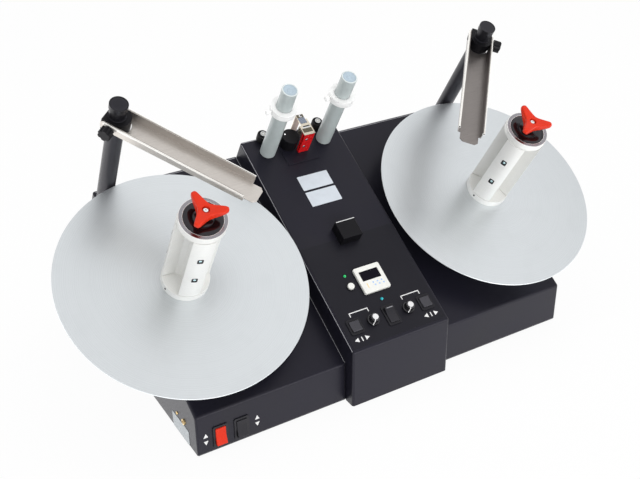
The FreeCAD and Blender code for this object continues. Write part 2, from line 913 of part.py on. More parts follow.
def on_front_wall(shape, x):
    placed = shape.copy()
    placed.rotate(Vector(0, 0, 0), Vector(1, 0, 0), 90)
    placed.translate(Vector(x, 0, front_switch_z))
    return placed


def switch_bodies():
    parts = []
    for x, s, half_w, half_l in rocker_places():
        parts.append(on_housing(switch_body(half_w, half_l), x, s))
    for x in (power_x, sensor_switch_x):
        parts.append(on_front_wall(switch_body(front_half_width, front_half_length), x))
    rim = rod(reset_rim_radius, 0.0, reset_rim_height)
    barrel = rod(reset_barrel_radius, -reset_depth, reset_rim_height * 0.5)
    bore = rod(reset_radius + running_gap, -reset_stroke_room, reset_rim_height + 1.0)
    ring = join([rim, barrel]).cut(bore)
    parts.append(on_housing(ring, reset_x, reset_s))
    return Part.makeCompound(parts)


def rockers():
    sync = rocker_paddle(sync_half_width, sync_half_length, rocker_rest_tilt)
    direction = rocker_paddle(direction_half_width, direction_half_length, 0.0)
    front = rocker_paddle(front_half_width, front_half_length, -rocker_rest_tilt)
    nodes = {"sync_rocker": on_housing(sync, 0.0, sync_s)}
    nodes["left_direction_rocker"] = on_housing(direction, -direction_x, direction_s)
    nodes["right_direction_rocker"] = on_housing(direction, direction_x, direction_s)
    nodes["power_rocker"] = on_front_wall(front, power_x)
    nodes["sensor_rocker"] = on_front_wall(front, sensor_switch_x)
    return nodes


def reset_button():
    return on_housing(rod(reset_radius, -reset_tail, reset_reach), reset_x, reset_s)


def speed_knob(side):
    skirt_top = speed_knob_lift + speed_skirt_height
    skirt = cone(speed_knob_radius, speed_knob_radius - speed_skirt_taper, speed_knob_lift, skirt_top)
    grip_radius = speed_knob_radius - speed_grip_inset
    outline = []
    for k in range(2 * speed_rib_count):
        radius = grip_radius - (k % 2) * speed_rib_depth
        outline.append(polar(radius, math.pi * k / speed_rib_count))
    grip = prism_z(outline, skirt_top - 1.0, speed_knob_height)
    bore = rod(speed_shaft_radius + running_gap, 0.0, speed_shaft_reach + thrust_gap)
    return on_housing(join([skirt, grip]).cut(bore), side * speed_x, speed_s)


def control_overlay():
    low = housing_rise
    high = housing_rise + overlay_thickness
    half = housing_half_width - overlay_side_margin
    film = box(-half, half, overlay_front, overlay_rear, low, high)
    for cut in panel_cuts(low - 1.0, high + 1.0):
        film = film.cut(cut)
    block_room = box(-index_half_width - cut_gap, index_half_width + cut_gap, index_front - cut_gap,
                     index_rear + cut_gap, low - 1.0, high + 1.0)
    return on_deck(film.cut(block_room))


def counter_case():
    low = housing_rise + overlay_thickness
    high = housing_rise + counter_height
    half = counter_half_width
    body = box(-half, half, counter_front, counter_rear, low, high)
    corners = [edge for edge in body.Edges if edge.BoundBox.ZLength > 1.0]
    body = body.makeFillet(counter_corner, corners)
    margin = counter_panel_margin + cut_gap
    plug = box(-half + margin, half - margin, counter_front + margin, counter_rear - margin,
               housing_rise - counter_body_depth, low + 1.0)
    body = join([body, plug])
    window = box(-display_half_width, display_half_width, display_front, display_rear,
                 high - display_recess, high + 1.0)
    return on_deck(body.cut(window))


def counter_display():
    high = housing_rise + counter_height
    half = display_half_width - cut_gap
    return on_deck(box(-half, half, display_front + cut_gap, display_rear - cut_gap,
                       high - display_recess, high - display_sink))


def status_leds():
    parts = []
    for x, s in led_places():
        body = rod(led_radius, -led_depth, led_body_top)
        dome = cone(led_radius, led_radius - led_tip_inset, led_body_top, led_dome_top)
        parts.append(on_housing(join([body, dome]), x, s))
    return Part.makeCompound(parts)


def control_board():
    half = housing_half_width - board_side_margin
    top = board_low + board_thickness
    under = housing_rise - sheet
    pot_low = under - pot_height
    parts = [box(-half, half, board_front, board_rear, board_low, top)]
    post_x_place = half - board_post_inset
    for x in (-post_x_place, post_x_place):
        for s in (board_post_front, board_rear - board_post_inset):
            parts.append(rod(board_post_radius, board_low, under, x, s))
    shaft_top = housing_rise + overlay_thickness + speed_shaft_reach
    for x in (-speed_x, speed_x):
        parts.append(rod(pot_radius, pot_low, under, x, speed_s))
        parts.append(rod(speed_shaft_radius, pot_low, shaft_top, x, speed_s))
        parts.append(box(x - pot_leg_half_width, x + pot_leg_half_width, speed_s - pot_radius,
                         speed_s - pot_radius + pot_leg_depth, board_low, pot_low + board_thickness))
    parts.append(box(-half * 0.7, -half * 0.4, board_rear - 60.0, board_rear - 30.0, board_low,
                     top + board_part_height))
    parts.append(box(half * 0.3, half * 0.8, board_rear - 50.0, board_rear - 10.0, board_low,
                     top + board_part_height))
    return on_deck(join(parts))


# ---------------------------------------------------------------- assembly
def console_nodes():
    nodes = {"base_pan": base_pan(), "rubber_feet": rubber_feet()}
    nodes["left_wing_cover"] = left_wing_cover()
    nodes["right_wing_cover"] = mirrored(wing())
    nodes["center_housing"] = center_housing()
    nodes["power_jack"] = power_jack()
    nodes["control_overlay"] = control_overlay()
    nodes["counter_case"] = counter_case()
    nodes["counter_display"] = counter_display()
    nodes["status_leds"] = status_leds()
    nodes["control_board"] = control_board()
    nodes["switch_bodies"] = switch_bodies()
    nodes["reset_button"] = reset_button()
    nodes["left_speed_knob"] = speed_knob(-1)
    nodes["right_speed_knob"] = speed_knob(1)
    nodes["deck_bearings"] = deck_bearings()
    nodes["reel_motors"] = reel_motors()
    nodes["index_block"] = index_block()
    nodes["sensor_plate"] = sensor_plate()
    nodes["fork_sensor"] = fork_sensor()
    nodes["sensor_bracket"] = sensor_bracket()
    nodes["sensor_pedestal"] = sensor_pedestal()
    nodes["guide_shafts"] = guide_shafts()
    nodes["arm_posts"] = arm_posts()
    nodes["post_caps"] = post_caps()
    return nodes


def side_nodes(side, name, reel_turn, knob_turn):
    """The reel, guide and arm of one side, mirrored in place but not in shape."""
    def on_reel(shape):
        return on_deck(moved(shape, side * reel_x, reel_s))

    def on_guide(shape):
        return on_deck(moved(shape, side * guide_x, guide_s))

    nodes = {name + "_flange": on_reel(flange())}
    nodes[name + "_chuck_body"] = on_reel(turned(chuck_body(), reel_turn))
    nodes[name + "_chuck_cap"] = on_reel(chuck_cap())
    nodes[name + "_chuck_knob"] = on_reel(turned(chuck_knob(), knob_turn))
    for k, angle in enumerate(jaw_angles()):
        nodes[name + "_jaw_" + str(k + 1)] = on_reel(turned(jaw(), angle + reel_turn))
    nodes[name + "_arm_block"] = arm_placed(arm_block(side), side)
    nodes[name + "_arm"] = arm_placed(swing_arm(), side)
    nodes[name + "_clamp_knob"] = arm_placed(clamp_knob(side), side)
    nodes[name + "_guide_roller"] = on_guide(guide_roller())
    nodes[name + "_guide_collar"] = on_guide(guide_collar())
    nodes[name + "_collar_screw"] = on_guide(collar_screw())
    short_s = deck_length - short_roller_rear_margin
    nodes[name + "_rear_roller"] = on_deck(moved(short_roller(), side * short_roller_x, short_s))
    return nodes


def all_nodes():
    nodes = console_nodes()
    nodes.update(rockers())
    nodes.update(side_nodes(-1, "left", left_reel_turn, left_knob_turn))
    nodes.update(side_nodes(1, "right", right_reel_turn, right_knob_turn))
    return nodes


os.makedirs("parts", exist_ok=True)
for node_name, node_shape in all_nodes().items():
    node_shape.exportStep("parts/" + node_name + ".step")
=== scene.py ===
"""Looks of a motor driven label rewinder and counter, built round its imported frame."""
import json
import math

import bmesh
import bpy
from mathutils import Matrix, Vector

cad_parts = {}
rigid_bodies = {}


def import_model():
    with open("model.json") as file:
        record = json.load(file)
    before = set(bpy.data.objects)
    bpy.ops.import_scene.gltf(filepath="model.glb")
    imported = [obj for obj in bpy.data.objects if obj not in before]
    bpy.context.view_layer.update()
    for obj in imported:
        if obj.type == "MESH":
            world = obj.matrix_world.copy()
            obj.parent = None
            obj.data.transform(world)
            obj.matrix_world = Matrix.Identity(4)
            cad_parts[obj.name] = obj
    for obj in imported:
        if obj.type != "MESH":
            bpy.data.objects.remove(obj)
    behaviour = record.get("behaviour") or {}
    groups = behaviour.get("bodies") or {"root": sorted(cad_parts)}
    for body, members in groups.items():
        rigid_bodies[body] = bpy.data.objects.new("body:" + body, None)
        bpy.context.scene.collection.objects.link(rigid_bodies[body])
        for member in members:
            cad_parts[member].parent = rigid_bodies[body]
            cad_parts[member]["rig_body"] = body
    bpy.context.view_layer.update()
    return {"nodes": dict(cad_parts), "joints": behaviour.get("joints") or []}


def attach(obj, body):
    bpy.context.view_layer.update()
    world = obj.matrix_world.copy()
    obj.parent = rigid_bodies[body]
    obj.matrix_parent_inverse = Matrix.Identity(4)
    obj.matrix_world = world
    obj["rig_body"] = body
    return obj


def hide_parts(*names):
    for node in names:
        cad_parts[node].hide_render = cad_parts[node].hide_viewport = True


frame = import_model()
MM = 0.001
joints = {joint["name"]: joint for joint in frame["joints"]}

# The deck frame: x as the world, s up the slope, n square to the deck, all in millimetres.
deck_axis = joints["left_reel_spin"]["axis"]
TILT = math.atan2(-deck_axis[1], deck_axis[2])
DECK_FRONT_Z = 77.0
# a quarter and a third of a turn
QUARTER = math.pi / 2
THIRD = 2.0 * math.pi / 3


def to_deck(point):
    """(x, s, n) in millimetres of a world point in metres."""
    x, y, z = [value / MM for value in point]
    z -= DECK_FRONT_Z
    return x, y * math.cos(TILT) + z * math.sin(TILT), z * math.cos(TILT) - y * math.sin(TILT)


def on_deck(x=0.0, s=0.0, n=0.0, turn=0.0):
    """Matrix that puts a shape drawn in millimetres on the deck, turned about the deck's normal."""
    place = shifted(0.0, 0.0, DECK_FRONT_Z * MM) @ turned("X", TILT)
    return place @ Matrix.Translation(Vector((x, s, n)) * MM) @ turned("Z", math.radians(turn)) @ IN_MM


def shifted(x, y, z):
    return Matrix.Translation((x, y, z))


def turned(axis, angle):
    return Matrix.Rotation(angle, 4, axis)


IN_MM = Matrix.Scale(MM, 4)
AS_IS = Matrix.Identity(4)
# turns a prism to run along x, its outline in the plane of the other two axes
ALONG_X = Matrix(((0, 0, 1, 0), (1, 0, 0, 0), (0, 1, 0, 0), (0, 0, 0, 1)))

# places and sizes that several pieces share, in the deck frame
REEL_X, REEL_S, _ = to_deck(joints["right_reel_spin"]["pos_m"])
GUIDE_X, GUIDE_S, _ = to_deck(joints["right_guide_spin"]["pos_m"])
POST_X, POST_S, _ = to_deck(joints["right_arm_swivel"]["pos_m"])
SIDES = (("left", -1.0), ("right", 1.0))
DECK_LENGTH = 429.0
WING_END = 359.0
HOUSING_HALF = 95.0
HOUSING_TOP = 39.0
OVERLAY_TOP = HOUSING_TOP + 0.5
INDEX_TOP = HOUSING_TOP + 20.5
COUNTER_TOP = HOUSING_TOP + 6.0
FOLD = 4.0

# how bright the room is: as a light, and mirrored from its walls, ceiling and floor
ROOM_LIGHT = 0.62
WALL_LIGHT = 1.25
CEILING_LIGHT = 0.44
FLOOR_IN_MIRRORS = 2.1


# ------------------------------------------------------------------ shapes
def prism(points, z0, z1):
    """A flat outline drawn out from one height to another."""
    shape = bmesh.new()
    low = [shape.verts.new((x, y, z0)) for x, y in points]
    high = [shape.verts.new((x, y, z1)) for x, y in points]
    shape.faces.new(list(reversed(low)))
    shape.faces.new(high)
    stitch(shape, [low, high])
    return shape


def ring(shape, count, radius, height):
    """Points round the z axis. The radius and the height are numbers, or functions of the angle."""
    points = []
    for k in range(count):
        angle = 2.0 * math.pi * k / count
        reach = radius(angle) if callable(radius) else radius
        level = height(angle) if callable(height) else height
        points.append(shape.verts.new((reach * math.cos(angle), reach * math.sin(angle), level)))
    return points


def stitch(shape, rings):
    """Faces between each ring of points and the next. A ring of one point is the tip of a fan."""
    for lower, upper in zip(rings, rings[1:]):
        count = max(len(lower), len(upper))
        if count == 1:
            continue
        for k in range(count):
            j = (k + 1) % count
            if len(lower) == 1:
                shape.faces.new((lower[0], upper[j], upper[k]))
            elif len(upper) == 1:
                shape.faces.new((lower[k], lower[j], upper[0]))
            else:
                shape.faces.new((lower[k], lower[j], upper[j], upper[k]))


def capped(shape, rings):
    """Stitches the rings, and closes the last and the first with a flat face."""
    stitch(shape, rings)
    shape.faces.new(rings[-1])
    shape.faces.new(list(reversed(rings[0])))
    return shape


def lathe(profile, segments=96, closed=False):
    """Solid of revolution about z. The profile is (radius, height) pairs, closed on itself for a ring."""
    shape = bmesh.new()
    rings = [ring(shape, segments if radius else 1, radius, height) for radius, height in profile]
    stitch(shape, rings + rings[:1] if closed else rings)
    return shape


def sharp_edges(shape, angle=30.0):
    """Edges where two faces meet at more than an angle in degrees."""
    bmesh.ops.recalc_face_normals(shape, faces=shape.faces)
    limit = math.radians(angle)
    return [edge for edge in shape.edges if len(edge.link_faces) == 2 and edge.calc_face_angle(0.0) > limit]


def rounded(shape, width, segments=2, edges=None):
    """Rounds the edges given, or every sharp one and then no more than the smallest allows."""
    bmesh.ops.bevel(shape, geom=edges or sharp_edges(shape), offset=width, segments=segments, profile=0.5,
                    affect="EDGES", clamp_overlap=edges is None)
    return shape


def bends(shape, reach):
    """Outer corners of folded sheet: sharp convex edges between faces that both reach some way from them."""
    found = []
    for edge in sharp_edges(shape, 50.0):
        length = max(edge.calc_length(), 1e-9)
        smaller = min(face.calc_area() for face in edge.link_faces)
        if edge.is_convex and length > 8 * reach and smaller > reach * length:
            found.append(edge)
    return found


def rounded_outline(half_x, half_y, radius, steps=6, middle=(0.0, 0.0)):
    """Corner points of a rectangle with round corners, anticlockwise."""
    points = []
    for corner in range(4):
        cx = (half_x - radius) * (1 if corner in (0, 3) else -1)
        cy = (half_y - radius) * (1 if corner in (0, 1) else -1)
        for k in range(steps + 1):
            angle = math.radians(corner * 90.0 + 90.0 * k / steps)
            points.append((middle[0] + (cx + radius * math.cos(angle)),
                           middle[1] + (cy + radius * math.sin(angle))))
    return points


def dot(radius, steps, x, y):
    """A round outline."""
    return rounded_outline(radius, radius, radius - 0.01, steps, (x, y))


def rectangle(x0, x1, y0, y1):
    return [(x0, y0), (x1, y0), (x1, y1), (x0, y1)]


def merged(shapes):
    """One shape from several, each given with the matrix that places it."""
    whole = bmesh.new()
    for shape, place in shapes:
        shape.transform(place)
        mesh = bpy.data.meshes.new("part")
        shape.to_mesh(mesh)
        shape.free()
        whole.from_mesh(mesh)
        bpy.data.meshes.remove(mesh)
    return whole


# ------------------------------------------------------------------ pieces
def piece(name, shape, place, finish, body, replaces=(), smooth=32.0):
    """An object of one shape that rides on a body; edges sharper than the angle smooth stay sharp."""
    shape.transform(place)
    bmesh.ops.recalc_face_normals(shape, faces=shape.faces)
    mesh = bpy.data.meshes.new(name)
    shape.to_mesh(mesh)
    shape.free()
    mesh.materials.append(finish)
    mesh.shade_smooth()
    mesh.set_sharp_from_angle(angle=math.radians(smooth))
    thing = bpy.data.objects.new(name, mesh)
    bpy.context.scene.collection.objects.link(thing)
    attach(thing, body)
    if replaces:
        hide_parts(*replaces)
    return thing


def softened(node, width, finish=None, segments=2, bend=0.0):
    """A copy of a CAD node with its sharp edges rounded, which stands for it; bend rounds its folds more."""
    same_point, same_plane, fold_reach = 1e-6, math.radians(0.6), 0.008
    source = frame["nodes"][node]
    slot = NODE_SLOT[node]
    shape = bmesh.new()
    shape.from_mesh(source.data)
    bmesh.ops.remove_doubles(shape, verts=shape.verts, dist=same_point)
    bmesh.ops.dissolve_limit(shape, angle_limit=same_plane, verts=shape.verts, edges=shape.edges)
    if bend:
        rounded(shape, bend * MM, 4, bends(shape, fold_reach))
    rounded(shape, width * MM, segments)
    thing = piece(node + "_soft", shape, AS_IS, finish or FINISH[slot], source["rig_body"], (node,))
    even = thing.modifiers.new("even_normals", "WEIGHTED_NORMAL")
    even.keep_sharp = True
    even.weight = 90


# ------------------------------------------------------------------ materials
class Finish:
    """A procedural material whose texture space is the object's own, in metres."""

    def __init__(self, name, color, roughness, metallic=0.0, **fixed):
        self.material = bpy.data.materials.new(name)
        self.material.use_nodes = True
        self.tree = self.material.node_tree
        self.shader = self.tree.nodes["Principled BSDF"]
        self.shader.inputs["Base Color"].default_value = (*color, 1.0)
        self.shader.inputs["Roughness"].default_value = roughness
        self.shader.inputs["Metallic"].default_value = metallic
        for socket, value in fixed.items():
            self.shader.inputs[socket.replace("_", " ")].default_value = value
        self.color = color
        self.space = self.tree.nodes.new("ShaderNodeTexCoord").outputs["Object"]
        self.normal = None

    def add(self, kind, inputs=(), **settings):
        """A node of a kind, with its settings, and its inputs as (socket, value) pairs."""
        node = self.tree.nodes.new("ShaderNode" + kind)
        for name, value in settings.items():
            setattr(node, name, value)
        for socket, value in inputs:
            node.inputs[socket].default_value = value
        return node

    def link(self, source, target):
        self.tree.links.new(source, target)

    def framed(self, origin=(0.0, 0.0, 0.0), turn=(0.0, 0.0, 0.0), grain=(1.0, 1.0, 1.0)):
        """Coordinates seen from a turned frame and divided by a grain size on each axis."""
        node = self.add("Mapping", (("Location", origin), ("Rotation", turn), ("Scale", grain)),
                        vector_type="TEXTURE")
        self.link(self.space, node.inputs["Vector"])
        return node.outputs["Vector"]

    def noise(self, space=None, scale=1.0, detail=3.0, roughness=0.5):
        node = self.add("TexNoise", (("Scale", scale), ("Detail", detail), ("Roughness", roughness)))
        self.link(space or self.space, node.inputs["Vector"])
        return node.outputs["Fac"]

    def rings(self, origin, scale):
        """Fine turned rings about the deck's normal through the origin."""
        split = self.add("SeparateXYZ")
        self.link(self.framed(origin, (TILT, 0.0, 0.0)), split.inputs[0])
        flat = self.add("CombineXYZ")
        self.link(split.outputs[0], flat.inputs[0])
        self.link(split.outputs[1], flat.inputs[1])
        radius = self.add("VectorMath", operation="LENGTH")
        self.link(flat.outputs[0], radius.inputs[0])
        total = self.add("Math", operation="ADD")
        self.link(radius.outputs["Value"], total.inputs[0])
        self.link(split.outputs[2], total.inputs[1])
        node = self.add("TexNoise", (("Scale", scale), ("Detail", 4.0)), noise_dimensions="1D")
        self.link(total.outputs[0], node.inputs["W"])
        return node.outputs["Fac"]

    def spread(self, value, low, high, start=0.3, end=0.7):
        """A value between start and end, spread over low to high."""
        limits = (("From Min", start), ("From Max", end), ("To Min", low), ("To Max", high))
        node = self.add("MapRange", limits)
        self.link(value, node.inputs["Value"])
        return node.outputs["Result"]

    def tint(self, value, other, start=0.35, end=0.75):
        """Mixes the colour so far towards another where the value is high."""
        mix = self.add("Mix", data_type="RGBA")
        share, first, second, color_out = mix.inputs[0], mix.inputs[6], mix.inputs[7], mix.outputs[2]
        base = self.shader.inputs["Base Color"]
        if base.is_linked:
            self.link(base.links[0].from_socket, first)
        else:
            first.default_value = (*self.color, 1.0)
        second.default_value = (*other, 1.0)
        self.link(self.spread(value, 0.0, 1.0, start, end), share)
        self.link(color_out, base)

    def gloss(self, value, low, high):
        self.link(self.spread(value, low, high), self.shader.inputs["Roughness"])

    def bump(self, value, height, strength=1.0):
        node = self.add("Bump", (("Distance", height), ("Strength", strength)))
        self.link(value, node.inputs["Height"])
        if self.normal:
            self.link(self.normal, node.inputs["Normal"])
        self.normal = node.outputs["Normal"]
        self.link(self.normal, self.shader.inputs["Normal"])

    def edge_wear_and_highlight(self, other, reach, amount):
        """Lightens the corners, as wear and as painted highlight, found where a rounded normal leaves the
        true one.
        """
        soft = self.add("Bevel", (("Radius", reach),), samples=4)
        true = self.add("NewGeometry")
        dot = self.add("VectorMath", operation="DOT_PRODUCT")
        self.link(soft.outputs[0], dot.inputs[0])
        self.link(true.outputs["True Normal"], dot.inputs[1])
        patchy = self.spread(self.noise(scale=260.0), 0.25, 1.0)
        edge = self.add("MapRange", (("From Min", 0.985), ("From Max", 0.80), ("To Max", amount)))
        self.link(dot.outputs["Value"], edge.inputs["Value"])
        both = self.add("Math", operation="MULTIPLY")
        self.link(edge.outputs["Result"], both.inputs[0])
        self.link(patchy, both.inputs[1])
        self.tint(both.outputs[0], other, 0.0, 1.0)


def scaled(color, share):
    return [value * share for value in color]


def coat(name, color, light, grain, roughness, height, specular=0.25):
    """Painted or moulded black: fine texture, faint clouding, and edges lightened as wear and as painted
    highlight.
    """
    finish = Finish(name, color, roughness, Specular_IOR_Level=specular, Specular_Tint=(0.95, 0.92, 1.0, 1.0))
    finish.tint(finish.noise(scale=9.0, detail=5.0), light, start=0.45, end=0.95)
    # lighter colour for the edges: rubbed wear and painted highlight
    wear_and_highlight = [min(1.0, 2.4 * value + 0.02) for value in light]
    finish.edge_wear_and_highlight(wear_and_highlight, reach=0.0010, amount=0.5)
    finish.gloss(finish.noise(scale=320.0, detail=3.0), roughness - 0.03, roughness + 0.05)
    finish.bump(finish.noise(scale=grain, detail=2.0), height)
    return finish.material


def brushed(name, color, roughness, metallic=1.0):
    """Sheet metal brushed along the deck's x."""
    finish = Finish(name, color, roughness, metallic, Anisotropic=0.4)
    along = finish.framed(turn=(TILT, 0.0, 0.0), grain=(0.09, 0.0004, 0.0004))
    lines = finish.noise(along, scale=1.0, detail=4.0, roughness=0.6)
    finish.tint(lines, scaled(color, 0.80), start=0.35, end=0.8)
    finish.gloss(lines, roughness - 0.05, roughness + 0.12)
    finish.bump(lines, height=0.00003, strength=0.5)
    finish.tint(finish.noise(scale=14.0, detail=4.0), scaled(color, 0.9), start=0.5, end=0.9)
    return finish.material


def turned_metal(name, color, roughness, metallic=1.0, ridge=0.6, origin=(0.0, 0.0, 0.0)):
    """Metal with fine rings about the deck's normal through the origin."""
    finish = Finish(name, color, roughness, metallic)
    fine = finish.rings(origin, scale=1500.0)
    finish.tint(fine, scaled(color, 0.86), start=0.4, end=0.75)
    finish.gloss(fine, roughness - 0.06, roughness + 0.10)
    finish.bump(fine, height=0.00002, strength=ridge)
    finish.tint(finish.noise(scale=30.0, detail=5.0), scaled(color, 0.92), start=0.5, end=0.9)
    return finish.material


def plastic(name, color, roughness, grain=1400.0, height=0.00002, **fixed):
    """Moulded or printed colour, slightly uneven in tone and gloss."""
    finish = Finish(name, color, roughness, **fixed)
    finish.tint(finish.noise(scale=60.0, detail=4.0), scaled(color, 0.88), start=0.4, end=0.9)
    finish.gloss(finish.noise(scale=180.0, detail=4.0), roughness - 0.04, roughness + 0.07)
    finish.bump(finish.noise(scale=grain, detail=2.0), height)
    return finish.material


def lamp_finish(name, color):
    """A small lit lens, brighter than its surroundings but no light of its own."""
    finish = Finish(name, color, 0.15, Emission_Color=(*color, 1.0), Emission_Strength=0.35)
    finish.tint(finish.noise(scale=400.0), scaled(color, 0.7))
    return finish.material


# the finish of each of the record's material slots; a coat's numbers are its grain, roughness, height of the
# grain and specular level, and the others begin with their roughness
FINISH = {
    "black_powder_coat": coat("black_powder_coat_fine", (0.0108, 0.0104, 0.0175), (0.013, 0.013, 0.0165),
                              1500.0, 0.34, 0.00005, 0.20),
    "black_plastic": coat("black_plastic_grain", (0.008, 0.008, 0.010), (0.013, 0.013, 0.016),
                          2200.0, 0.34, 0.00003, 0.25),
    "gloss_black_plastic": coat("gloss_black_smooth", (0.005, 0.004, 0.005), (0.008, 0.007, 0.008),
                                900.0, 0.12, 0.00001, 0.45),
    "overlay_film": coat("overlay_film_matt", (0.008, 0.008, 0.012), (0.012, 0.012, 0.016),
                         2600.0, 0.38, 0.00002, 0.19),
    "rubber": coat("rubber_matt", (0.006, 0.006, 0.006), (0.011, 0.011, 0.011), 900.0, 0.6, 0.00008, 0.3),
    "motor_paint": coat("motor_paint_satin", (0.03, 0.032, 0.036), (0.045, 0.047, 0.05), 700.0, 0.4, 0.00004),
    "red_plastic": plastic("red_plastic_satin", (0.70, 0.028, 0.006), 0.36, grain=900.0, height=0.00005,
                           Specular_IOR_Level=0.2),
    "red_enamel": plastic("red_enamel_gloss", (0.62, 0.010, 0.012), 0.22),
    "grey_roller": plastic("grey_roller_matt", (0.45, 0.50, 0.50), 0.32, grain=700.0, height=0.00003),
    "ivory_plastic": plastic("ivory_translucent", (0.97, 0.97, 0.96), 0.35, Subsurface_Weight=0.4,
                             Subsurface_Scale=0.006, Subsurface_Radius=(1.0, 1.0, 1.0)),
    "white_plastic": plastic("white_plastic_satin", (0.84, 0.84, 0.80), 0.32),
    "circuit_board": plastic("circuit_board_mask", (0.012, 0.10, 0.04), 0.35),
    "display_glass": plastic("display_glass_dark", (0.004, 0.003, 0.008), 0.2, Specular_IOR_Level=0.07),
    "led_lens": plastic("led_lens_green", (0.02, 0.45, 0.14), 0.18),
    "brass": turned_metal("brass_turned", (0.78, 0.57, 0.25), 0.28, origin=(-0.36, 0.0468, 0.04)),
    "zinc_steel": turned_metal("zinc_steel_turned", (0.62, 0.64, 0.66), 0.34),
    "nickel_plate": brushed("nickel_plate_brushed", (0.66, 0.60, 0.50), 0.22),
    "satin_aluminium": turned_metal("satin_aluminium_any", (0.78, 0.80, 0.81), 0.42),
    "machined_aluminium": turned_metal("machined_aluminium_any", (0.86, 0.86, 0.84), 0.3),
    "brushed_stainless": brushed("brushed_stainless_any", (0.68, 0.65, 0.61), 0.3),
}
NODE_SLOT = {name: node.data.materials[0].name for name, node in frame["nodes"].items()}
for name, node in frame["nodes"].items():
    node.data.materials[0] = FINISH[NODE_SLOT[name]]

# finishes of single pieces
# pale coat for painted highlight lines on the folds and on the sync paddle
HIGHLIGHT_PAINT = coat("highlight_line_coat", (0.27, 0.27, 0.29), (0.34, 0.34, 0.36), 1500.0, 0.35, 0.00003, 0.5)
# lighter than the other black plastics: painted light on the direction rockers' paddles
ROCKER_LIGHTENED = coat("rocker_satin_lit", (0.030, 0.030, 0.036), (0.042, 0.042, 0.048), 1600.0, 0.3, 0.00003, 0.45)
PADDLE = coat("paddle_satin", (0.012, 0.012, 0.015), (0.02, 0.02, 0.024), 1600.0, 0.3, 0.00003, 0.34)
POST_SATIN = coat("post_satin", (0.016, 0.016, 0.020), (0.024, 0.024, 0.03), 1500.0, 0.4, 0.00005, 0.34)
CLAMP_MATT = coat("clamp_matt", (0.005, 0.005, 0.006), (0.01, 0.01, 0.012), 1500.0, 0.4, 0.00004, 0.16)
CAP_FACE = coat("cap_face_rings", (0.014, 0.014, 0.018), (0.022, 0.022, 0.026), 1400.0, 0.36, 0.00003, 0.2)
DARK_BLOCK = coat("index_block_matt", (0.004, 0.004, 0.005), (0.007, 0.007, 0.008), 1500.0, 0.36, 0.00004,
                  0.16)
KNURL = coat("knurl_gloss", (0.006, 0.006, 0.007), (0.010, 0.010, 0.012), 1500.0, 0.16, 0.00001, 0.6)
DULL_STEEL = turned_metal("steel_dull", (0.42, 0.41, 0.37), 0.32)
CHROME = turned_metal("chrome_bright", (0.80, 0.81, 0.82), 0.12)
BLUED = turned_metal("screw_blued", (0.52, 0.68, 0.70), 0.20)
BRIGHT = turned_metal("plate_bright", (0.70, 0.71, 0.72), 0.30)
RATING_GREY = turned_metal("rating_grey", (0.40, 0.43, 0.45), 0.4, 0.4)
DARK_NICKEL = turned_metal("nickel_dark", (0.13, 0.115, 0.085), 0.25)
STEEL_BLUE = turned_metal("steel_blue", (0.22, 0.25, 0.31), 0.25)
HEM_SHADE = turned_metal("hem_shade_finish", (0.16, 0.14, 0.13), 0.4)
LEG_HIGHLIGHT = plastic("leg_highlight_paint", (0.86, 0.76, 0.68), 0.4)
CROWN = plastic("crown_silver", (0.80, 0.80, 0.81), 0.28)
PALE_BLUE = plastic("plug_pale_blue", (0.44, 0.54, 0.62), 0.2)
PALE_LIP = plastic("lip_pale", (0.72, 0.78, 0.78), 0.35)
INK = plastic("ink_white", (0.82, 0.82, 0.82), 0.5)
PAPER = plastic("notice_bare", (0.64, 0.69, 0.75), 0.4)
BLUE_INK = plastic("ink_blue", (0.42, 0.58, 0.88), 0.5)
YELLOW_INK = plastic("ink_yellow", (0.90, 0.68, 0.30), 0.5)
LAMP_GREEN = lamp_finish("lamp_green", (0.02, 0.50, 0.14))
LAMP_CYAN = lamp_finish("lamp_cyan", (0.02, 0.40, 0.46))


# ------------------------------------------------------------------ camera, floor and light
def camera():
    """The photograph's view. Its place is in metres, and its focal length in pixels of the photograph."""
    azimuth, elevation, roll = math.radians(-30.632), math.radians(29.165), math.radians(-0.671)
    place, focal_pixels, photo_width, sensor = (-0.79075, -1.09894, 1.03116), 998.0, 640.0, 36.0
    back = Vector((math.sin(azimuth) * math.cos(elevation), -math.cos(azimuth) * math.cos(elevation),
                   math.sin(elevation)))
    right = Vector((math.cos(azimuth), math.sin(azimuth), 0.0))
    up = back.cross(right)
    turn = Matrix((right, up, back)).transposed().to_4x4() @ turned("Z", roll)
    lens = bpy.data.cameras.new("camera")
    lens.sensor_width = sensor
    lens.lens = sensor * focal_pixels / photo_width
    lens.clip_start = 0.05
    lens.clip_end = 50.0
    eye = bpy.data.objects.new("camera", lens)
    eye.matrix_world = shifted(*place) @ turn
    bpy.context.scene.collection.objects.link(eye)
    bpy.context.scene.camera = eye


def area_light(name, place, size, power):
    """A white panel that faces the middle of the machine."""
    lamp = bpy.data.lights.new(name, "AREA")
    lamp.shape = "RECTANGLE"
    lamp.size, lamp.size_y = size
    lamp.energy = power
    thing = bpy.data.objects.new(name, lamp)
    direction = Vector((0.0, 0.25, 0.2)) - Vector(place)
    thing.matrix_world = shifted(*place) @ direction.to_track_quat("-Z", "Y").to_matrix().to_4x4()
    bpy.context.scene.collection.objects.link(thing)


CAMERA_RAYS = ("Is Camera Ray",)
MIRROR_RAYS = ("Is Glossy Ray", "Is Transmission Ray")


def by_ray(tree, kinds, others, seen):
    """Seen for rays of the kinds named and others for the rest; each is a number or a socket."""
    path = tree.nodes.new("ShaderNodeLightPath")
    share = path.outputs[kinds[0]]
    for kind in kinds[1:]:
        more = tree.nodes.new("ShaderNodeMath")
        more.operation = "MAXIMUM"
        tree.links.new(share, more.inputs[0])
        tree.links.new(path.outputs[kind], more.inputs[1])
        share = more.outputs[0]
    mix = tree.nodes.new("ShaderNodeMix")
    for index, value in ((0, share), (2, others), (3, seen)):
        if isinstance(value, float):
            mix.inputs[index].default_value = value
        else:
            tree.links.new(value, mix.inputs[index])
    return mix.outputs[0]


